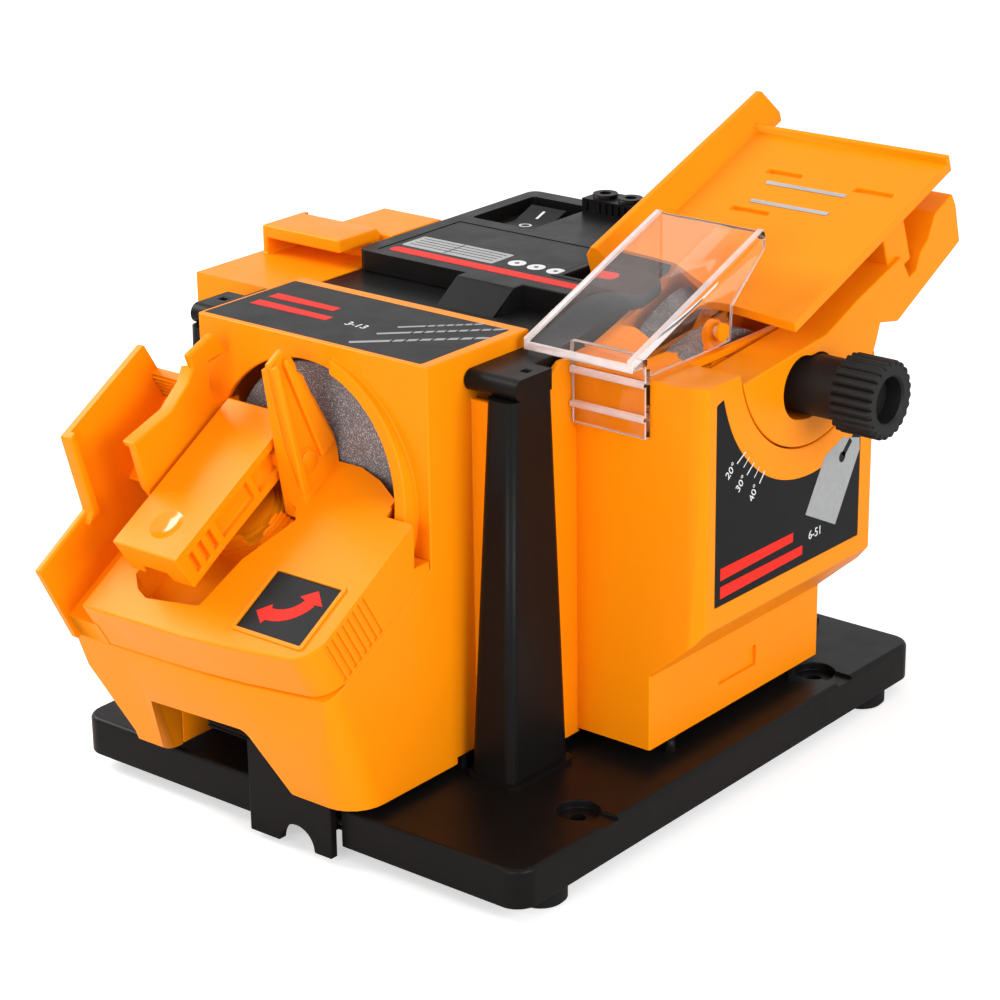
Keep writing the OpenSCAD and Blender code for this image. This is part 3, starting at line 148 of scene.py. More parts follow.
def moulded_plastic(name, colour, roughness, grain, depth, spread, gloss=0.3, sheen=(1, 1, 1)):
    """Injection moulded plastic with a fine grain and slightly uneven gloss."""
    mat, tree, shader = new_material(name)
    shader.inputs["Specular IOR Level"].default_value = gloss
    shader.inputs["Specular Tint"].default_value = (*sheen, 1)
    cloud = add_range(tree, add_noise(tree, scale=28.0, detail=3.0), 0.0, 1.0)
    tint = add_tint(tree, cloud, shaded(colour, 1 - spread), colour)
    tree.links.new(tint, shader.inputs["Base Color"])
    uneven = add_noise(tree, scale=90.0, detail=4.0)
    worn = add_range(tree, uneven, roughness - 0.04, roughness + 0.05)
    tree.links.new(worn, shader.inputs["Roughness"])
    add_bump(tree, shader, add_noise(tree, scale=grain, roughness=0.6), depth)
    return mat


def metal(name, colour, roughness, streaks):
    """Metal with fine streaks, which streaks stretches along each axis."""
    mat, tree, shader = new_material(name)
    shader.inputs["Metallic"].default_value = 1.0
    stretch = add_node(tree, "ShaderNodeMapping")
    stretch.inputs["Scale"].default_value = streaks
    tree.links.new(object_space(tree), stretch.inputs["Vector"])
    noise = add_node(tree, "ShaderNodeTexNoise", Scale=40.0, Detail=4.0)
    tree.links.new(stretch.outputs["Vector"], noise.inputs["Vector"])
    streak = noise.outputs["Fac"]
    tint = add_tint(tree, add_range(tree, streak, 0, 1), shaded(colour, 0.8), colour)
    tree.links.new(tint, shader.inputs["Base Color"])
    worn = add_range(tree, streak, roughness - 0.08, roughness + 0.1)
    tree.links.new(worn, shader.inputs["Roughness"])
    add_bump(tree, shader, streak, depth=0.00003)
    return mat


def grit_stone(name, colour, sparkle):
    """Bonded abrasive: grains of different greys, the palest of which are painted glints that
    stand for their sparkle.
    """
    mat, tree, shader = new_material(name)
    grains = add_node(tree, "ShaderNodeTexVoronoi", Scale=4200.0)
    tree.links.new(object_space(tree), grains.inputs["Vector"])
    split = tree.nodes.new("ShaderNodeSeparateColor")
    tree.links.new(grains.outputs["Color"], split.inputs["Color"])
    ramp = tree.nodes.new("ShaderNodeValToRGB")
    tree.links.new(split.outputs["Red"], ramp.inputs["Fac"])
    stops = ramp.color_ramp.elements
    stops[0].color = (*shaded(colour, 0.6), 1)
    stops[1].position, stops[1].color = 0.8, (*colour, 1)
    # The grey steps are the grains' own tones; the palest grains, in the sparkle colour, are
    # painted glints
    stops.new(0.93).color = (*sparkle, 1)
    tree.links.new(ramp.outputs["Color"], shader.inputs["Base Color"])
    shader.inputs["Specular IOR Level"].default_value = 0.25
    worn = add_range(tree, split.outputs["Green"], 0.45, 0.9, start=0.0, end=0.6)
    tree.links.new(worn, shader.inputs["Roughness"])
    add_bump(tree, shader, grains.outputs["Distance"], depth=0.00012)
    return mat


def clear_plastic(name, colour):
    """Clear moulded plastic with a faint tint."""
    mat, tree, shader = new_material(name)
    shader.inputs["Base Color"].default_value = (*colour, 1)
    shader.inputs["Transmission Weight"].default_value = 1.0
    shader.inputs["IOR"].default_value = 1.35
    wave = add_range(tree, add_noise(tree, scale=60.0), 0.01, 0.05)
    tree.links.new(wave, shader.inputs["Roughness"])
    return mat


def lit_edge_plastic(name, colour):
    """A pale, part-clear colour painted on the cut edges of clear plastic: a painted highlight
    that stands for the light those edges gather.
    """
    mat, tree, shader = new_material(name)
    cloud = add_range(tree, add_noise(tree, scale=240.0, detail=3.0), 0, 1)
    tint = add_tint(tree, cloud, shaded(colour, 0.86), colour)
    tree.links.new(tint, shader.inputs["Base Color"])
    shader.inputs["Transmission Weight"].default_value = 0.45
    shader.inputs["Roughness"].default_value = 0.35
    return mat


def printed(name, colour, roughness=0.35):
    """Printing ink with a faint mottle."""
    mat, tree, shader = new_material(name)
    mottle = add_range(tree, add_noise(tree, scale=400.0), 0, 1)
    tint = add_tint(tree, mottle, shaded(colour, 0.93), colour)
    tree.links.new(tint, shader.inputs["Base Color"])
    shader.inputs["Roughness"].default_value = roughness
    shader.inputs["Specular IOR Level"].default_value = 0.04
    return mat


MATERIALS = {}


def make_materials(finish):
    """All finishes of the sharpener, from the panel's colours."""
    orange, black = tuple(finish.orange), tuple(finish.black)
    MATERIALS.update(
        orange_plastic=moulded_plastic(
            "orange_plastic", orange, roughness=finish.gloss, grain=2600.0, depth=0.00002,
            spread=0.03, gloss=0.14, sheen=(1.0, 0.78, 0.55)),
        polished_orange=moulded_plastic(
            "polished_orange", orange, roughness=0.14, grain=2600.0, depth=0.000004,
            spread=0.03, gloss=0.5),
        black_plastic=moulded_plastic(
            "black_plastic", black, roughness=0.36, grain=1700.0, depth=0.00003,
            spread=0.2, gloss=0.1),
        knob_plastic=moulded_plastic(
            "knob_plastic", shaded(black, 1.5), roughness=0.5, grain=2200.0, depth=0.00004,
            spread=0.2, gloss=0.2),
        rubber=moulded_plastic(
            "rubber_feet", shaded(black, 1.4), roughness=0.7, grain=900.0, depth=0.00006,
            spread=0.3, gloss=0.15),
        label_dark=moulded_plastic(
            "label_foil", (0.011, 0.011, 0.012), roughness=0.34, grain=3000.0, depth=0.000008,
            spread=0.1, gloss=0.07),
        label_grey=printed("label_grey", (0.42, 0.42, 0.42)),
        steel=metal("bright_steel", (0.62, 0.63, 0.65), roughness=0.3, streaks=(1, 1, 18)),
        grinding_grit=grit_stone("grinding_grit", tuple(finish.grit), sparkle=(0.56, 0.56, 0.57)),
        copper_winding=metal(
            "copper_winding", (0.70, 0.32, 0.14), roughness=0.35, streaks=(18, 1, 18)),
        clear_plastic=clear_plastic("clear_guard", tuple(finish.guard)),
        # The guard's edge colour is a painted highlight for the light that the cut edges of the
        # clear plastic gather
        guard_edge=lit_edge_plastic("guard_edge", (0.93, 0.80, 0.77)),
        carbon=moulded_plastic(
            "carbon", (0.03, 0.03, 0.032), roughness=0.55, grain=1500.0, depth=0.00003,
            spread=0.3),
        red_ink=printed("red_ink", (0.78, 0.03, 0.02)),
        white_ink=printed("white_ink", (0.80, 0.80, 0.80)),
        silver_ink=printed("silver_ink", (0.36, 0.365, 0.37), roughness=0.3),
        dark_ink=printed("dark_ink", (0.02, 0.02, 0.021), roughness=0.3),
    )


# ---------- Pieces ----------

# The least angles in degrees at which an edge is rounded: on a moulding, inside a box with a
# round of its own, and where a side wall meets the flat end of a turned or cut out shape
SHARP, BOX_SHARP, END_SHARP = 28.0, 23.0, 57.3
# The room that a round needs beside its edge, and how far from an edge its round can fold, as
# multiples of the round's width
ROOM, FOLD_REACH = 2.1, 1.5
# Faces that turn by more than this many radians lie on each other
FOLD_ANGLE = 2.3
# The least area in square metres by which a folded face covers itself
FOLD_AREA = 4e-8


def keep(bm, name, material, body, replaces=(), smooth=40.0):
    """Turns a bmesh into a piece that rides on a body, smooth up to an angle in degrees."""
    bmesh.ops.recalc_face_normals(bm, faces=bm.faces)
    mesh = bpy.data.meshes.new(name)
    bm.to_mesh(mesh)
    bm.free()
    mesh.shade_smooth()
    mesh.set_sharp_from_angle(angle=math.radians(smooth))
    piece = bpy.data.objects.new(name, mesh)
    bpy.context.scene.collection.objects.link(piece)
    piece.data.materials.append(MATERIALS[material])
    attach(piece, body)
    if replaces:
        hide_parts(*replaces)
    return piece


def solid_of(node):
    """A merged copy of a CAD solid whose flat faces are single faces."""
    bm = bmesh.new()
    bm.from_mesh(frame["nodes"][node].data)
    bmesh.ops.remove_doubles(bm, verts=bm.verts, dist=2e-6)
    bmesh.ops.dissolve_limit(bm, angle_limit=math.radians(0.6), verts=bm.verts, edges=bm.edges)
    return bm


def sharp_edges(bm, angle):
    """The edges whose two faces meet at more than an angle in degrees."""
    return [e for e in bm.edges if e.calc_face_angle(0.0) > math.radians(angle)]


def near(edge, point):
    """How near an edge comes to a point."""
    a, b = (v.co for v in edge.verts)
    along = b - a
    t = min(max((point - a).dot(along) / max(along.length_squared, 1e-14), 0.0), 1.0)
    return (a + along * t - point).length


def gap_between(first, second):
    """Roughly how near two edges come to each other."""
    start, end = (v.co for v in second.verts)
    return min(near(first, point) for point in (start, end, (start + end) / 2))


def roundable(bm, width, angle):
    """The sharp edges that have room for a round of that width, the same ones in each run."""
    sharp = [e for e in sharp_edges(bm, angle) if e.is_manifold]
    known = set(sharp)
    tight = set()
    for edge in sharp:
        if edge in tight:
            continue
        own = set(edge.verts)
        for other in (e for face in edge.link_faces for e in face.edges):
            if other is edge or other not in known or own & set(other.verts):
                continue
            if gap_between(edge, other) < ROOM * width:
                tight.update((edge, other))
    return [e for e in sharp if e not in tight]


def folds(bm):
    """The middles of the faces that fold over a neighbour or over themselves."""
    found = [(e.verts[0].co + e.verts[1].co) / 2 for e in bm.edges
             if e.calc_face_angle(0.0) > FOLD_ANGLE]
    covered = {}
    for a, b, c in bm.calc_loop_triangles():
        half = (b.vert.co - a.vert.co).cross(c.vert.co - a.vert.co).length / 2
        covered[a.face] = covered.get(a.face, 0.0) + half
    found += [f.calc_center_median() for f, area in covered.items()
              if area > f.calc_area() + FOLD_AREA]
    return found


def bevel_edges(bm, edges, width, segments, clamp=False):
    bmesh.ops.bevel(bm, geom=edges, offset=width, offset_type="OFFSET", segments=segments,
                    profile=0.5, affect="EDGES", material=-1, clamp_overlap=clamp, loop_slide=True)


def round_edges(bm, width, angle=SHARP, segments=2, tries=4):
    """Rounds the sharp edges, apart from those whose rounds would fold over each other."""
    before = len(folds(bm))
    edges = roundable(bm, width, angle)
    for _ in range(tries):
        bm.edges.index_update()
        numbers = [e.index for e in edges]
        trial = bm.copy()
        trial.edges.ensure_lookup_table()
        bevel_edges(trial, [trial.edges[n] for n in numbers], width, segments)
        folded = folds(trial)
        trial.free()
        if len(folded) <= before:
            break
        edges = [e for e in edges
                 if min(near(e, point) for point in folded) > FOLD_REACH * width]
    bevel_edges(bm, edges, width, segments)


def moulding(node, material, width, angle=SHARP, wide=()):
    """A CAD moulding with rounded edges, which stands for the solid.

    Each of wide is the lowest and highest corner of a box in millimetres, and the width in
    millimetres and the number of segments that the sharp edges inside it get.
    """
    bodies = frame["record"]["behaviour"]["bodies"]
    body = next(name for name, nodes in bodies.items() if node in nodes)
    bm = solid_of(node)
    for low, high, broad, segments in wide:
        inside = [e for e in sharp_edges(bm, BOX_SHARP) if e.is_convex and all(
            a * MM <= c <= b * MM for v in e.verts for a, c, b in zip(low, v.co, high))]
        bevel_edges(bm, inside, broad * MM, segments)
    round_edges(bm, width, angle)
    piece = keep(bm, node + "_moulding", material, body, (node,), angle + 2)
    piece.modifiers.new("even shading", "WEIGHTED_NORMAL").keep_sharp = True


def turned(profile, steps=96, to_axis=False):
    """A solid turned round the local Z axis from (radius, height) points in millimetres."""
    bm = bmesh.new()
    ring = [bm.verts.new((r * MM, 0, h * MM)) for r, h in profile]
    onward = ring[1:] if to_axis else ring[1:] + ring[:1]
    edges = [bm.edges.new((a, b)) for a, b in zip(ring, onward)]
    bmesh.ops.spin(bm, geom=ring + edges, cent=(0, 0, 0), axis=(0, 0, 1), dvec=(0, 0, 0),
                   angle=math.tau, steps=steps, use_merge=True, use_duplicate=False)
    bmesh.ops.remove_doubles(bm, verts=bm.verts, dist=1e-7)
    bmesh.ops.recalc_face_normals(bm, faces=bm.faces)
    return bm


# ---------- Printed marks ----------

# How much thicker than the print below it a mark is that lies on another print
OVER = 1.5


def outline_mark(points):
    """A bmesh with one flat face whose corners are the points, in millimetres."""
    bm = bmesh.new()
    bm.faces.new([bm.verts.new((x * MM, y * MM, 0)) for x, y in points])
    return bm


def stroke(start, end, width, tip=None):
    """A flat straight bar that may narrow to its tip, in millimetres."""
    (x0, y0), (x1, y1) = start, end
    length = math.hypot(x1 - x0, y1 - y0)
    nx, ny = -(y1 - y0) / length / 2, (x1 - x0) / length / 2
    tip = width if tip is None else tip
    return outline_mark([(x0 - nx * width, y0 - ny * width), (x1 - nx * tip, y1 - ny * tip),
                         (x1 + nx * tip, y1 + ny * tip), (x0 + nx * width, y0 + ny * width)])


def panel_mark(low, high, radius, segments=6):
    """A flat panel between two corners with rounded corners, in millimetres."""
    bm = outline_mark([low, (high[0], low[1]), high, (low[0], high[1])])
    round_corners(bm, radius, segments)
    return bm


def round_corners(bm, radius, segments):
    bmesh.ops.bevel(bm, geom=bm.verts[:], offset=radius * MM, offset_type="OFFSET",
                    segments=segments, profile=0.5, affect="VERTICES", material=-1,
                    clamp_overlap=True)


def add_disc(bm, centre, radius, inner=0.0, segments=32):
    """A disc or a flat ring round centre, in millimetres."""
    place = shift(*centre)
    outer = bmesh.ops.create_circle(
        bm, cap_ends=inner == 0, radius=radius * MM, segments=segments, matrix=place)
    if inner:
        hole = bmesh.ops.create_circle(
            bm, cap_ends=False, radius=inner * MM, segments=segments, matrix=place)
        rims = set(outer["verts"] + hole["verts"])
        bmesh.ops.bridge_loops(bm, edges=[e for e in bm.edges if rims.issuperset(e.verts)])


def arc(centre, radii, angles, segments=20):
    """A flat ring sector between two radii, from one angle to the other in degrees."""
    first, last = (math.radians(a) for a in angles)
    bm = bmesh.new()
    ends = [bm.verts.new((r * MM * math.cos(first), r * MM * math.sin(first), 0)) for r in radii]
    bmesh.ops.spin(bm, geom=[*ends, bm.edges.new(ends)], cent=(0, 0, 0), axis=(0, 0, 1),
                   dvec=(0, 0, 0), angle=last - first, steps=segments, use_merge=False,
                   use_duplicate=False)
    bmesh.ops.transform(bm, matrix=shift(*centre), verts=bm.verts)
    return bm


def words(text, size, centre, angle=0.0):
    """Flat figures in the plain built-in face, centred on a point, in millimetres and degrees."""
    data = bpy.data.curves.new("figures", "FONT")
    data.body = text
    data.size = size * MM
    data.align_x, data.align_y = "CENTER", "CENTER"
    holder = bpy.data.objects.new("figures", data)
    mesh = bpy.data.meshes.new_from_object(holder)
    bm = bmesh.new()
    bm.from_mesh(mesh)
    bpy.data.objects.remove(holder)
    bpy.data.curves.remove(data)
    bpy.data.meshes.remove(mesh)
    bmesh.ops.transform(bm, matrix=shift(*centre) @ turn(angle, "Z"), verts=bm.verts)
    return bm


def join(marks):
    """Several bmeshes as one."""
    whole = bmesh.new()
    for bm in marks:
        mesh = bpy.data.meshes.new("mark")
        bm.to_mesh(mesh)
        bm.free()
        whole.from_mesh(mesh)
        bpy.data.meshes.remove(mesh)
    return whole


def thicken(bm, depth):
    """Gives flat faces a thickness in metres."""
    faces = bm.faces[:]
    bmesh.ops.recalc_face_normals(bm, faces=faces)
    bmesh.ops.solidify(bm, geom=faces, thickness=-depth)


def print_on(bm, name, ink, place, over=1.0, body="machine"):
    """Prints flat faces on a plane of the part, over times as thick as other prints."""
    thicken(bm, bpy.context.scene.sharpener_sizes.print_depth * over)
    bmesh.ops.transform(bm, matrix=place, verts=bm.verts)
    keep(bm, name, ink, body, smooth=30.0)


# ---------- Panel settings ----------


class SHARPENER_PG_finish(bpy.types.PropertyGroup):
    orange: bpy.props.FloatVectorProperty(
        name="Orange", description="Colour of the orange mouldings", subtype="COLOR", min=0, max=1,
        default=(0.97, 0.27, 0.002))
    black: bpy.props.FloatVectorProperty(
        name="Black", description="Colour of the black mouldings", subtype="COLOR", min=0, max=1,
        default=(0.0065, 0.006, 0.0058))
    grit: bpy.props.FloatVectorProperty(
        name="Grit", description="Main grey of the grinding wheels", subtype="COLOR", min=0,
        max=1, default=(0.19, 0.19, 0.195))
    guard: bpy.props.FloatVectorProperty(
        name="Guard", description="Tint of the clear wheel guard", subtype="COLOR", min=0, max=1,
        default=(0.99, 0.93, 0.92))
    gloss: bpy.props.FloatProperty(
        name="Roughness", description="Roughness of the orange plastic", default=0.33, min=0.05,
        max=1)


class SHARPENER_PG_sizes(bpy.types.PropertyGroup):
    shell_round: bpy.props.FloatProperty(
        name="Moulding edge", description="Round on the edges of the mouldings", default=0.5 * MM,
        min=0.0, max=2 * MM, unit="LENGTH")
    print_depth: bpy.props.FloatProperty(
        name="Print thickness", description="Thickness of the printed marks", default=0.08 * MM,
        min=0.01 * MM, max=0.5 * MM, unit="LENGTH")
    knob_ribs: bpy.props.IntProperty(
        name="Knob ribs", description="Number of ribs round the tilt knob", default=24, min=8,
        max=40)


class SHARPENER_PG_studio(bpy.types.PropertyGroup):
    lens: bpy.props.FloatProperty(
        name="Lens", description="Focal length of the camera in millimetres", default=105.24,
        min=20, max=300)
    lamp: bpy.props.FloatProperty(
        name="Lamp power", description="Power of the main soft lamp", default=15.5, min=0,
        unit="POWER")


# ---------- Operators ----------


class SHARPENER_OT_finishes(bpy.types.Operator):
    """Make every finish and put it on the CAD solids"""
    bl_idname = "sharpener.finishes"
    bl_label = "Finishes"

    def execute(self, context):
        make_materials(context.scene.sharpener_finish)
        for part in frame["record"]["subparts"]:
            data = frame["nodes"][part["node"]].data
            data.materials.clear()
            data.materials.append(MATERIALS[part["material_slot"]])
        return {"FINISHED"}


# Each orange moulding, with how many times wider than the panel's its rounds are
ORANGE_MOULDINGS = {
    "drill_housing": 1.2, "drill_head": 1.6, "clamp_lever": 1.2, "chisel_housing": 1.2,
    "swivel_frame": 1.2, "chisel_table": 1.0, "knife_housing": 1.6, "knife_guides": 1.6,
}
BLACK_MOULDINGS = ("base_plate", "latch_tab", "corner_columns", "motor_housing", "motor_cover",
                   "cable_entry", "size_gauge", "switch_frame", "switch_rocker")
# The drill housing's chin leans in shallow steps that aren't rounded, apart from the edge in a box
HOUSING_SHARP = 36.0
CHIN_CORNER = ((-50, -136, 23), (-49, -126.5, 46), 3.2, 6)


class SHARPENER_OT_mouldings(bpy.types.Operator):
    """Give the plastic mouldings rounded edges"""
    bl_idname = "sharpener.mouldings"
    bl_label = "Mouldings"

    def execute(self, context):
        width = context.scene.sharpener_sizes.shell_round
        for node, more in ORANGE_MOULDINGS.items():
            if node == "drill_housing":
                moulding(node, "orange_plastic", width * more, HOUSING_SHARP, (CHIN_CORNER,))
            else:
                moulding(node, "orange_plastic", width * more)
        for node in BLACK_MOULDINGS:
            moulding(node, "black_plastic", width)
        return {"FINISHED"}


WHEEL_BORE = 4.02
WHEEL_RIM = 0.7


class SHARPENER_OT_wheels(bpy.types.Operator):
    """Turn the three grinding wheels with rounded rims, two of them with a recess for the nut"""
    bl_idname = "sharpener.wheels"
    bl_label = "Grinding wheels"

    def execute(self, context):
        self.wheel("drill_wheel", "drill_drive", 1, turn(-90, "X"), near_recess=(11, 5))
        self.wheel("chisel_wheel", "motor_rotor", 0, turn(90, "Y"), far_recess=(13, 4.6))
        self.wheel("knife_wheel", "motor_rotor", 0, turn(90, "Y"))
        return {"FINISHED"}

    def wheel(self, node, body, axis, way, near_recess=None, far_recess=None):
        """A wheel along an axis, with the radius and depth of a recess at either end."""
        low, high = (Vector(corner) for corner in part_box(node))
        side = 1 - axis
        radius, thick = (high[side] - low[side]) / 2 / MM, (high[axis] - low[axis]) / MM
        first, last = [(WHEEL_BORE, 0)], [(WHEEL_BORE, thick)]
        if near_recess:
            wide, deep = near_recess
            first = [(WHEEL_BORE, deep), (wide, deep), (wide, 0)]
        if far_recess:
            wide, deep = far_recess
            last = [(wide, thick), (wide, thick - deep), (WHEEL_BORE, thick - deep)]
        bm = turned([*first, (radius, 0), (radius, thick), *last], 128)
        middle = (low + high) / 2
        middle[axis] = low[axis]
        bmesh.ops.transform(bm, matrix=Matrix.Translation(middle) @ way, verts=bm.verts)
        bevel_edges(bm, sharp_edges(bm, END_SHARP), WHEEL_RIM * MM, 3, clamp=True)
        keep(bm, node + "_turned", "grinding_grit", body, (node,))


GUARD_ROUND = 0.35
# Faces of the guard that are narrower than this are the cut edges of its sheet
GUARD_EDGE = 2.9


class SHARPENER_OT_guard(bpy.types.Operator):
    """Give the clear guard rounded edges, with a painted highlight in a pale colour on its narrow
    edge faces
    """
    bl_idname = "sharpener.guard"
    bl_label = "Clear guard"

    def execute(self, context):
        bm = solid_of("wheel_guard")
        round_edges(bm, GUARD_ROUND * MM)
        for face in bm.faces:
            spans = [max(v.co[i] for v in face.verts) - min(v.co[i] for v in face.verts)
                     for i in range(3)]
            # Narrow edge faces get the pale painted highlight instead of the clear plastic
            face.material_index = int(face.calc_area() / max(spans) < GUARD_EDGE * MM)
        piece = keep(bm, "wheel_guard_moulding", "clear_plastic", "guard",
                     ("wheel_guard",))
        piece.data.materials.append(MATERIALS["guard_edge"])
        return {"FINISHED"}


# The knob's ribs: the depth of the grooves, the height and shape of a rib, and its steps
KNOB_GROOVE, KNOB_RISE, KNOB_SHAPE, KNOB_STEPS = 1.5, 1.45, 0.7, 8
# Where the knob's head begins along X, its shoulder, and the radii and ends of its stem
KNOB_HEAD, KNOB_SHOULDER = 122.0, 0.9
KNOB_STEM = [(4.1, 97.4), (10.8, 97.4), (10.8, 122.4), (4.1, 122.4)]
# Each ring of the knob's face: how far it draws in or its radius, and how far it lies below
KNOB_FACE = ((0.2, None, 0.3), (0.4, None, 0), (0, 12.5, 0), (0, 9.0, 0), (0, 8.2, 0.8),
             (0, 7.9, 6.5))


class SHARPENER_OT_knob(bpy.types.Operator):
    """Make the tilt knob: a stem, a head with round ribs and a sunk face"""
    bl_idname = "sharpener.knob"
    bl_label = "Tilt knob"

    def execute(self, context):
        low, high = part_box("tilt_knob")
        ribs = context.scene.sharpener_sizes.knob_ribs
        head = self.head((high[2] - low[2]) / 2 / MM, high[0] / MM - KNOB_HEAD, ribs)
        along = Matrix.Translation((0, (low[1] + high[1]) / 2, (low[2] + high[2]) / 2))
        bmesh.ops.transform(head, matrix=along @ shift(KNOB_HEAD, 0) @ turn(90, "Y"),
                            verts=head.verts)
        stem = turned(KNOB_STEM, 72)
        bmesh.ops.transform(stem, matrix=along @ turn(90, "Y"), verts=stem.verts)
        keep(join([head, stem]), "tilt_knob_moulding", "knob_plastic", "knob",
             ("tilt_knob",), 35.0)
        return {"FINISHED"}

    def head(self, reach, thick, ribs):
        """The ribbed head up the local Z axis, with its sunk face on top."""
        groove = reach - KNOB_GROOVE
        bm = bmesh.new()
        ring = bmesh.ops.create_circle(
            bm, cap_ends=True, radius=groove * MM, segments=ribs * KNOB_STEPS)
        outline = sorted(ring["verts"], key=lambda v: math.atan2(v.co.y, v.co.x))
        for number, vert in enumerate(outline):
            bump = abs(math.sin(math.pi * number / KNOB_STEPS))
            vert.co *= (groove + KNOB_RISE * bump ** KNOB_SHAPE) / groove
        grown = bmesh.ops.extrude_face_region(bm, geom=bm.faces[:])["geom"]
        for vert in (g for g in grown if isinstance(g, bmesh.types.BMVert)):
            vert.co.z += (thick - KNOB_SHOULDER) * MM
        lid = [g for g in grown if isinstance(g, bmesh.types.BMFace)]
        for taper, radius, below in KNOB_FACE:
            bmesh.ops.inset_region(bm, faces=lid, thickness=0.05 * MM, depth=0,
                                   use_even_offset=False)
            for vert in {v for f in lid for v in f.verts}:
                out = vert.co.xy.length
                vert.co.xy *= (out - taper * MM if radius is None else radius * MM) / out
                vert.co.z = (thick - below) * MM
        return bm


ARROW_TIPS = (
    [(5, -47.1), (10, -51.2), (11.6, -47.2), (9.3, -43)],
    [(22.2, -33.2), (17.1, -37.2), (22.3, -38.9), (27.7, -38.4)],
)
ARROW_TIP_OVER = 1.4


class SHARPENER_OT_head_marks(bpy.types.Operator):
    """Print the curved double arrow on the swinging head"""
    bl_idname = "sharpener.head_marks"
    bl_label = "Arrow on the head"

    def execute(self, context):
        sweep = arc((10.5, -34.5), (10.0, 14.9), (-95, -18))
        tips = join([outline_mark(points) for points in ARROW_TIPS])
        print_on(sweep, "head_arrow_sweep", "red_ink", HEAD_SLOPE, body="head")
        print_on(tips, "head_arrow_tips", "red_ink", HEAD_SLOPE, ARROW_TIP_OVER, "head")
        return {"FINISHED"}


# The stepped rings in the pocket: their number, the first one's outer radius and top, and the
# width and drop of each
RINGS, RING_REACH, RING_TOP, RING_WIDTH, RING_DROP = 9, 16.6, -1.8, 1.15, 1.1
RING_FLOOR, RING_MIDDLE = -12.5, shift(-34, -10)
# The right edge and the front edge of the quarter that the rings fill, on the head's slope
RING_CUTS = ((shift(-17.6, 0), (-1, 0, 0)), (shift(0, -6), (0, 1, 0)))
# The two ribs on the outer face of the right wing, along the slope and away from it
WING_RIBS = (
    [(-2.2, 4), (1.2, 4), (18.4, 46.3), (15.9, 46.3)],
    [(12.5, 8), (20.2, 8), (22.0, 25), (23.2, 43.5), (21.6, 45.5), (20.2, 43.5)],
)
WING_LEAN, RIB_THICK = -7.6, 2.2
# The left wall of the finger gap under the chin, and where its middle is
CHEEK_SIZE, CHEEK_MIDDLE = (2.6 * MM, 16 * MM, 21.4 * MM), shift(-50.95, -112.4, 34.3)
# The cap over the lever's pin: its profile, and its place on the head's slope
PIN_CAP, PIN_END = [(0, 0), (4.1, 0), (4.1, 0.5), (3.6, 0.9), (0, 0.9)], shift(-8.5, 8, 10)
# The ball that hollows out the lever's dish: its radius, the height of its middle above the
# lever, the angles of its steps in degrees, and its place on the head's slope
DISH_REACH, DISH_LIFT, DISH_STEPS, DISH_PLACE = 15.5, 14.2, range(0, 24, 3), shift(-33, -37.5, 20)


class SHARPENER_OT_head_details(bpy.types.Operator):
    """Add the rings in the pocket, the wing's ribs, the pin's cap and the lever's polished dish"""
    bl_idname = "sharpener.head_details"
    bl_label = "Details of the head"

    def execute(self, context):
        self.place(self.rings(), "head_rings", HEAD_SLOPE)
        # The ribs' plane has its local X along the slope and its local Y away from the head
        web = Matrix(((0, 0, 1, -0.0002), (1, 0, 0, 0), (0, 1, 0, 0), (0, 0, 0, 1)))
        wing = HEAD_SLOPE @ shift(-7, 0) @ turn(WING_LEAN, "Y") @ web
        self.place(self.ribs(), "head_wing_ribs", wing)
        self.place(self.cheek(), "arch_cheek", CHEEK_MIDDLE, body="machine")
        cap = turned(PIN_CAP, 48, True)
        self.place(cap, "lever_pin_cap", HEAD_SLOPE @ PIN_END @ turn(90, "Y"))
        self.place(self.dish(), "lever_dish", HEAD_SLOPE @ DISH_PLACE, "polished_orange", "lever")
        return {"FINISHED"}

    def rings(self):
        """Rings that step down outwards, cut to the quarter that lies in the pocket."""
        rings = []
        for number in range(RINGS):
            outer, top = RING_REACH + RING_WIDTH * number, RING_TOP - RING_DROP * number
            inner = outer - RING_WIDTH
            ring = turned([(inner, RING_FLOOR), (outer, RING_FLOOR), (outer, top - 0.5),
                           (outer - 0.35, top), (outer - 0.8, top), (inner, top - 0.4)], 144)
            bmesh.ops.transform(ring, matrix=RING_MIDDLE, verts=ring.verts)
            for cut, way in RING_CUTS:
                bmesh.ops.bisect_plane(
                    ring, geom=ring.verts[:] + ring.edges[:] + ring.faces[:], dist=1e-7,
                    plane_co=cut.translation, plane_no=way, clear_outer=True)
                rim = [e for e in ring.edges if e.is_boundary]
                bmesh.ops.edgeloop_fill(ring, edges=rim)
            rings.append(ring)
        return join(rings)

    def ribs(self):
        """The two ribs of the right wing, in their own plane."""
        ribs = [outline_mark(points) for points in WING_RIBS]
        for bm in ribs:
            round_corners(bm, 0.9, 3)
            thicken(bm, RIB_THICK * MM)
            bevel_edges(bm, sharp_edges(bm, END_SHARP), 0.5 * MM, 2)
        return join(ribs)

    def cheek(self):
        """A flat wall with rounded edges, about its own middle."""
        bm = bmesh.new()
        bmesh.ops.create_cube(bm, size=1.0)
        bmesh.ops.scale(bm, verts=bm.verts, vec=CHEEK_SIZE)
        bevel_edges(bm, bm.edges[:], 0.6 * MM, 2)
        return bm

    def dish(self):
        """A thin polished skin in the round hollow of the lever."""
        turns = [math.radians(a) for a in DISH_STEPS]
        bowl = [(DISH_REACH * math.sin(a), DISH_LIFT - DISH_REACH * math.cos(a)) for a in turns]
        skin = [(r, h + 0.06) for r, h in bowl] + [(6.25, 0.0), (6.2, -0.05)]
        skin += [(r, h - 0.02) for r, h in reversed(bowl)]
        return turned(skin, 64, True)

    def place(self, bm, name, matrix, finish="orange_plastic", body="head"):
        bmesh.ops.transform(bm, matrix=matrix, verts=bm.verts)
        keep(bm, name, finish, body, smooth=50.0)


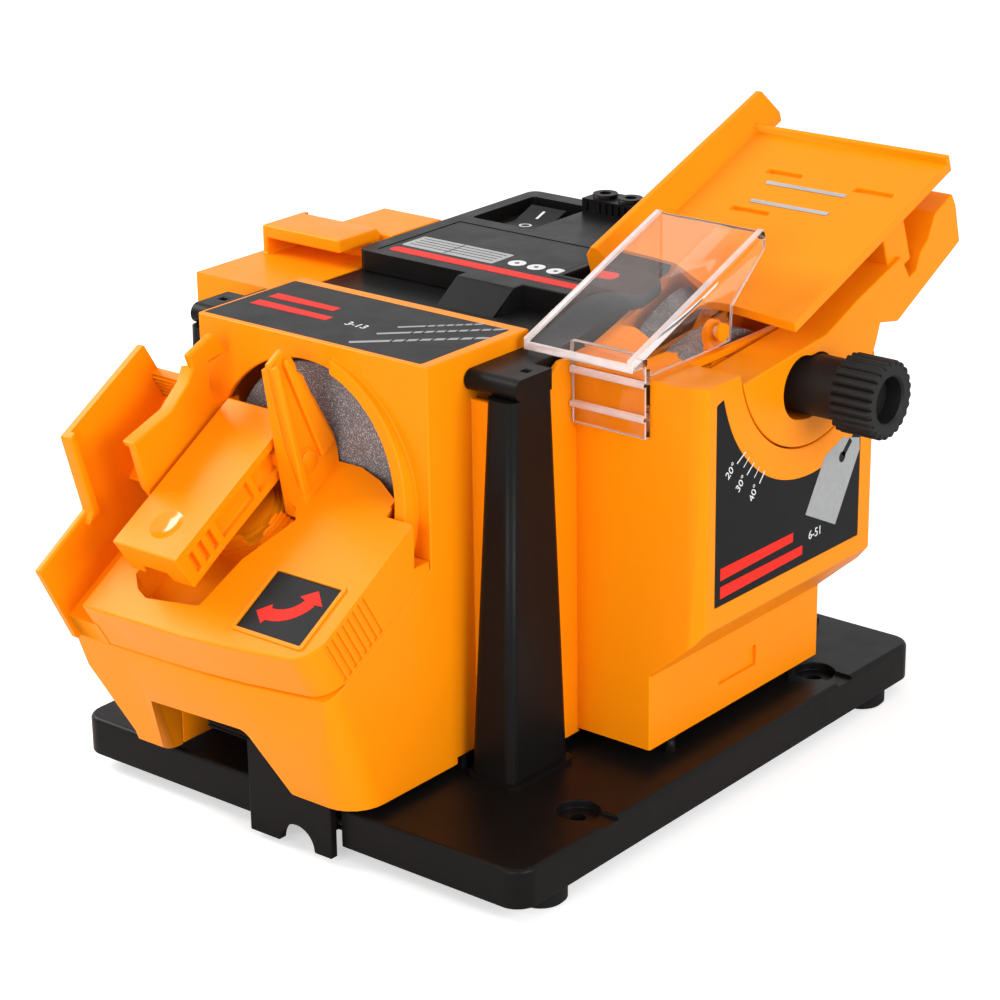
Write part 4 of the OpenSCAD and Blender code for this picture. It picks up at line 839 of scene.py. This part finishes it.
# Each tick of the scale: its two ends and its width
DIAL_TICKS = (
    ((-5.1, 133.3), (-10.1, 130.6), 0.5), ((-2.7, 130.8), (-6.2, 128.1), 0.3),
    ((0.1, 128.0), (-4.1, 124.8), 0.5), ((3.3, 125.5), (0.3, 122.5), 0.3),
    ((6.6, 123.1), (3.5, 119.5), 0.5),
)
# Each figure on the side label: its text, height, middle and turn
DIAL_FIGURES = (
    ("20\u00b0", 4.3, (-13.7, 129.0), 40), ("30\u00b0", 4.3, (-7.7, 122.7), 44),
    ("40\u00b0", 4.3, (0.1, 117.1), 56), ("6-51", 4.6, (39.0, 90.5), 0),
)
PLANE_IRON = [(32.5, 99.2), (51.8, 89.7), (66.6, 113.9), (66.4, 118.3), (55.4, 121.4),
              (44.1, 117.7)]
IRON_SLOT_OVER = 1.6
# Each stripe: its two ends, its width and the width of its tip
DIAL_STRIPES = (((-19, 93.2), (25, 93.2), 4.4, 3.4), ((-19, 86.6), (31, 86.6), 4.4, 3.4))


class SHARPENER_OT_dial_marks(bpy.types.Operator):
    """Print the angle scale, its figures and the plane iron on the side label"""
    bl_idname = "sharpener.dial_marks"
    bl_label = "Scale on the side"

    def execute(self, context):
        marks = [stroke(*tick) for tick in DIAL_TICKS]
        marks += [words(*figure) for figure in DIAL_FIGURES]
        print_on(join(marks), "dial_figures", "white_ink", PLATE_SIDE)
        print_on(outline_mark(PLANE_IRON), "dial_plane_iron", "silver_ink", PLATE_SIDE)
        slot = stroke((55.6, 114.6), (60.6, 119.2), 2.4)
        add_disc(slot, (55.2, 114.2), 2.0)
        print_on(slot, "dial_iron_slot", "dark_ink", PLATE_SIDE, IRON_SLOT_OVER)
        stripes = join([stroke(*stripe) for stripe in DIAL_STRIPES])
        print_on(stripes, "dial_stripes", "red_ink", PLATE_SIDE)
        return {"FINISHED"}


# Each drill on the top label: the end of its shank, its tip and its width
LABEL_DRILLS = (
    ((1.2, -58.3), (22.9, -37.6), 1.3), ((0.3, -68.1), (32.8, -37.6), 1.6),
    ((-1, -80.7), (34.6, -48.3), 1.9),
)
LABEL_STRIPES = (((-59, -55.5), (-29, -55.5), 5.2, 4.2), ((-59, -65), (-24, -65), 5.2, 4.2))
# Where a drill's tip begins, and where its flutes begin and end, as shares of its length
TIP_FROM, FLUTES_FROM, FLUTES_TO = 0.94, 0.35, 0.95
# The spacing, slant and width of the flutes, as multiples of the drill's width
FLUTE_STEP, FLUTE_SLANT, FLUTE_WIDTH = 2.4, 0.75, 0.42
# The rows of the rating plate's panel along Y, and its three round signs along X and Y
ROWS_Y = (17.5, 20.2, 22.9, 25.6)
SIGNS_X, SIGNS_Y = (-10.0, -1.2, 7.6), 20.5


class SHARPENER_OT_top_marks(bpy.types.Operator):
    """Print the drills, the stripes and the rating panel on the top labels"""
    bl_idname = "sharpener.top_marks"
    bl_label = "Marks on the top"

    def execute(self, context):
        self.drill_label(top_of("drill_label"))
        self.rating_plate(top_of("rating_plate"))
        return {"FINISHED"}

    def drill_label(self, label):
        """Three drills, two stripes and a range of sizes on the drill housing's label."""
        drills, flutes = [], []
        for start, end, width in LABEL_DRILLS:
            shank, tip = Vector(start), Vector(end)
            way = tip - shank
            neck = tuple(shank + way * TIP_FROM)
            drills += [stroke(start, neck, width), stroke(neck, end, width, 0.1)]
            side = Vector((-way.y, way.x)).normalized() * width * 0.5
            slant = way.normalized() * width * FLUTE_SLANT
            steps = int(way.length / (FLUTE_STEP * width))
            for number in range(int(steps * FLUTES_FROM), steps):
                at = shank + way * (number / steps) * FLUTES_TO
                across = tuple(at - side), tuple(at + side + slant)
                flutes.append(stroke(*across, width * FLUTE_WIDTH))
        print_on(join(drills), "label_drills", "silver_ink", label)
        print_on(join(flutes), "label_drill_flutes", "dark_ink", label, OVER)
        stripes = join([stroke(*stripe) for stripe in LABEL_STRIPES])
        print_on(stripes, "label_stripes", "red_ink", label)
        print_on(words("3-13", 5.2, (-11.5, -65)), "label_range", "white_ink", label)

    def rating_plate(self, plate):
        """A band, a panel of rows without words and three round signs."""
        print_on(panel_mark((-60, 6.5), (44, 12), 2.6), "rating_band", "red_ink", plate)
        panel = panel_mark((-60, 14.5), (-17, 28), 1.0, 3)
        print_on(panel, "rating_panel", "label_grey", plate)
        rows = [stroke((-58, y), (-19, y), 0.5) for y in ROWS_Y]
        rows.append(stroke((-40, 15.2), (-40, 27.4), 0.5))
        print_on(join(rows), "rating_rows", "dark_ink", plate, OVER)
        signs, inner = bmesh.new(), bmesh.new()
        for x in SIGNS_X:
            add_disc(signs, (x, SIGNS_Y), 3.4)
            add_disc(inner, (x, SIGNS_Y), 2.7, 2.2)
            add_disc(inner, (x, SIGNS_Y), 0.9)
        print_on(signs, "rating_signs", "white_ink", plate)
        print_on(inner, "rating_sign_rings", "dark_ink", plate, OVER)


# The rocker's middle along Y and its height and lean at rest
ROCKER_Y, ROCKER_Z, ROCKER_LEAN = 78, 165.6, 9
# The lean of its two halves, their height at the middle and their rise for each millimetre out
HALF_LEAN, HALF_LIFT, HALF_RISE = 10.9, 3.22, 0.193


class SHARPENER_OT_switch_marks(bpy.types.Operator):
    """Print the on and off marks on the rocker"""
    bl_idname = "sharpener.switch_marks"
    bl_label = "Switch marks"

    def execute(self, context):
        low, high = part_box("switch_rocker")
        middle = (low[0] + high[0]) / 2 / MM
        pivot = shift(middle, ROCKER_Y, ROCKER_Z) @ turn(ROCKER_LEAN, "X")
        circle = bmesh.new()
        add_disc(circle, (0, 0), 2.5, 1.7)
        self.put(stroke((0, -2.6), (0, 2.6), 1.1), "on_mark", pivot, 1, 5.7)
        self.put(circle, "off_mark", pivot, -1, 3.9)
        return {"FINISHED"}

    def put(self, mark, name, pivot, side, out):
        """Prints a mark on one half of the rocker, out from its middle."""
        lift = HALF_LIFT + HALF_RISE * out
        half = shift(0, side * out, lift) @ turn(side * HALF_LEAN, "X")
        print_on(mark, name, "white_ink", pivot @ half, body="rocker")


def soft_lamp(name, eye, target, size, power):
    data = bpy.data.lights.new(name, "AREA")
    data.shape = "RECTANGLE"
    data.size, data.size_y = size
    data.energy = power
    lamp = bpy.data.objects.new(name, data)
    bpy.context.scene.collection.objects.link(lamp)
    lamp.location = eye
    lamp.rotation_euler = (Vector(target) - Vector(eye)).to_track_quat("-Z", "Y").to_euler()


def white_where_seen(tree, shaded_output, seen):
    """The given shader, but seen where the camera, a mirror or clear plastic shows it."""
    path = tree.nodes.new("ShaderNodeLightPath")
    shown = path.outputs["Is Camera Ray"]
    for ray in ("Is Glossy Ray", "Is Transmission Ray"):
        most = add_node(tree, "ShaderNodeMath", operation="MAXIMUM")
        tree.links.new(shown, most.inputs[0])
        tree.links.new(path.outputs[ray], most.inputs[1])
        shown = most.outputs[0]
    mix = tree.nodes.new("ShaderNodeMixShader")
    tree.links.new(shown, mix.inputs["Fac"])
    tree.links.new(shaded_output, mix.inputs[1])
    tree.links.new(seen, mix.inputs[2])
    return mix.outputs["Shader"]


# Where the camera stands in metres, and its yaw, pitch and roll in degrees
CAMERA_EYE = (0.62762, -0.77057, 0.46584)
CAMERA_TURN = (39.286, -20.715, -0.816)
WORLD_STRENGTH = 0.46
FLOOR_GREY, FLOOR_FILL = 0.75, 0.5
# Each lamp: where it hangs, what it points at, its width and height, and its share of the power
LAMPS = {
    "left_lamp": ((-1.0, -0.26, 0.8), (0, -0.05, 0.12), (0.7, 0.62), 1.0),
    "right_lamp": ((1.6, -0.2, 0.7), (0, 0, 0.1), (1.2, 0.9), 1.26),
    "front_lamp": ((0.25, -1.7, 0.65), (0, 0, 0.1), (1.2, 0.9), 0.95),
}


class SHARPENER_OT_stage(bpy.types.Operator):
    """Make the camera, the soft lamps, the white surroundings and the floor"""
    bl_idname = "sharpener.stage"
    bl_label = "Studio"

    def execute(self, context):
        scene = context.scene
        studio = scene.sharpener_studio
        scene.view_settings.view_transform = "Standard"
        self.camera(scene, studio.lens)
        self.surroundings(scene)
        self.floor(scene)
        for name, (eye, target, size, share) in LAMPS.items():
            soft_lamp(name, eye, target, size, studio.lamp * share)
        return {"FINISHED"}

    def camera(self, scene, lens):
        data = bpy.data.cameras.new("camera")
        data.sensor_width = 36.0
        data.lens = lens
        camera = bpy.data.objects.new("camera", data)
        scene.collection.objects.link(camera)
        yaw, pitch, roll = CAMERA_TURN
        camera.matrix_world = (Matrix.Translation(CAMERA_EYE) @ turn(yaw, "Z")
                               @ turn(90 + pitch, "X") @ turn(roll, "Z"))
        scene.camera = camera

    def surroundings(self, scene):
        world = bpy.data.worlds.new("white studio")
        scene.world = world
        world.use_nodes = True
        tree = world.node_tree
        dim = tree.nodes["Background"]
        dim.inputs["Color"].default_value = (1, 1, 1, 1)
        dim.inputs["Strength"].default_value = WORLD_STRENGTH
        white = add_node(tree, "ShaderNodeBackground", Color=(1, 1, 1, 1), Strength=1.0)
        surface = white_where_seen(tree, dim.outputs[0], white.outputs[0])
        tree.links.new(surface, tree.nodes["World Output"].inputs["Surface"])

    def floor(self, scene):
        bm = bmesh.new()
        bmesh.ops.create_grid(bm, x_segments=1, y_segments=1, size=5.0)
        mesh = bpy.data.meshes.new("floor")
        bm.to_mesh(mesh)
        bm.free()
        floor = bpy.data.objects.new("floor", mesh)
        scene.collection.objects.link(floor)
        mat, tree, shader = new_material("floor_white")
        shader.inputs["Base Color"].default_value = (FLOOR_GREY, FLOOR_GREY, FLOOR_GREY, 1)
        shader.inputs["Roughness"].default_value = 0.9
        shader.inputs["Specular IOR Level"].default_value = 0.0
        shader.inputs["Emission Color"].default_value = (1, 1, 1, 1)
        path = tree.nodes.new("ShaderNodeLightPath")
        fill = add_node(tree, "ShaderNodeMath", operation="MULTIPLY")
        fill.inputs[1].default_value = FLOOR_FILL
        tree.links.new(path.outputs["Is Camera Ray"], fill.inputs[0])
        tree.links.new(fill.outputs[0], shader.inputs["Emission Strength"])
        mesh.materials.append(mat)


class SHARPENER_PT_panel(bpy.types.Panel):
    """Builds the sharpener's finish step by step"""
    bl_idname = "SHARPENER_PT_panel"
    bl_label = "Sharpener"
    bl_space_type = "VIEW_3D"
    bl_region_type = "UI"
    bl_category = "Sharpener"

    def draw(self, context):
        scene = context.scene
        for group in (scene.sharpener_finish, scene.sharpener_sizes, scene.sharpener_studio):
            for name in group.__annotations__:
                self.layout.prop(group, name)
        for operator in STEPS:
            self.layout.operator(operator.bl_idname)


GROUPS = {
    "sharpener_finish": SHARPENER_PG_finish,
    "sharpener_sizes": SHARPENER_PG_sizes,
    "sharpener_studio": SHARPENER_PG_studio,
}
STEPS = (
    SHARPENER_OT_stage,
    SHARPENER_OT_finishes,
    SHARPENER_OT_mouldings,
    SHARPENER_OT_wheels,
    SHARPENER_OT_guard,
    SHARPENER_OT_knob,
    SHARPENER_OT_head_marks,
    SHARPENER_OT_head_details,
    SHARPENER_OT_dial_marks,
    SHARPENER_OT_top_marks,
    SHARPENER_OT_switch_marks,
)
CLASSES = (*GROUPS.values(), *STEPS, SHARPENER_PT_panel)


def register():
    for cls in CLASSES:
        bpy.utils.register_class(cls)
    for name, group in GROUPS.items():
        setattr(bpy.types.Scene, name, bpy.props.PointerProperty(type=group))


def unregister():
    for name in GROUPS:
        delattr(bpy.types.Scene, name)
    for cls in reversed(CLASSES):
        bpy.utils.unregister_class(cls)


def main():
    register()
    for step in STEPS:
        group, name = step.bl_idname.split(".")
        if getattr(getattr(bpy.ops, group), name)() != {"FINISHED"}:
            raise RuntimeError(f"{step.bl_label} did not finish")


if __name__ == "__main__":
    main()
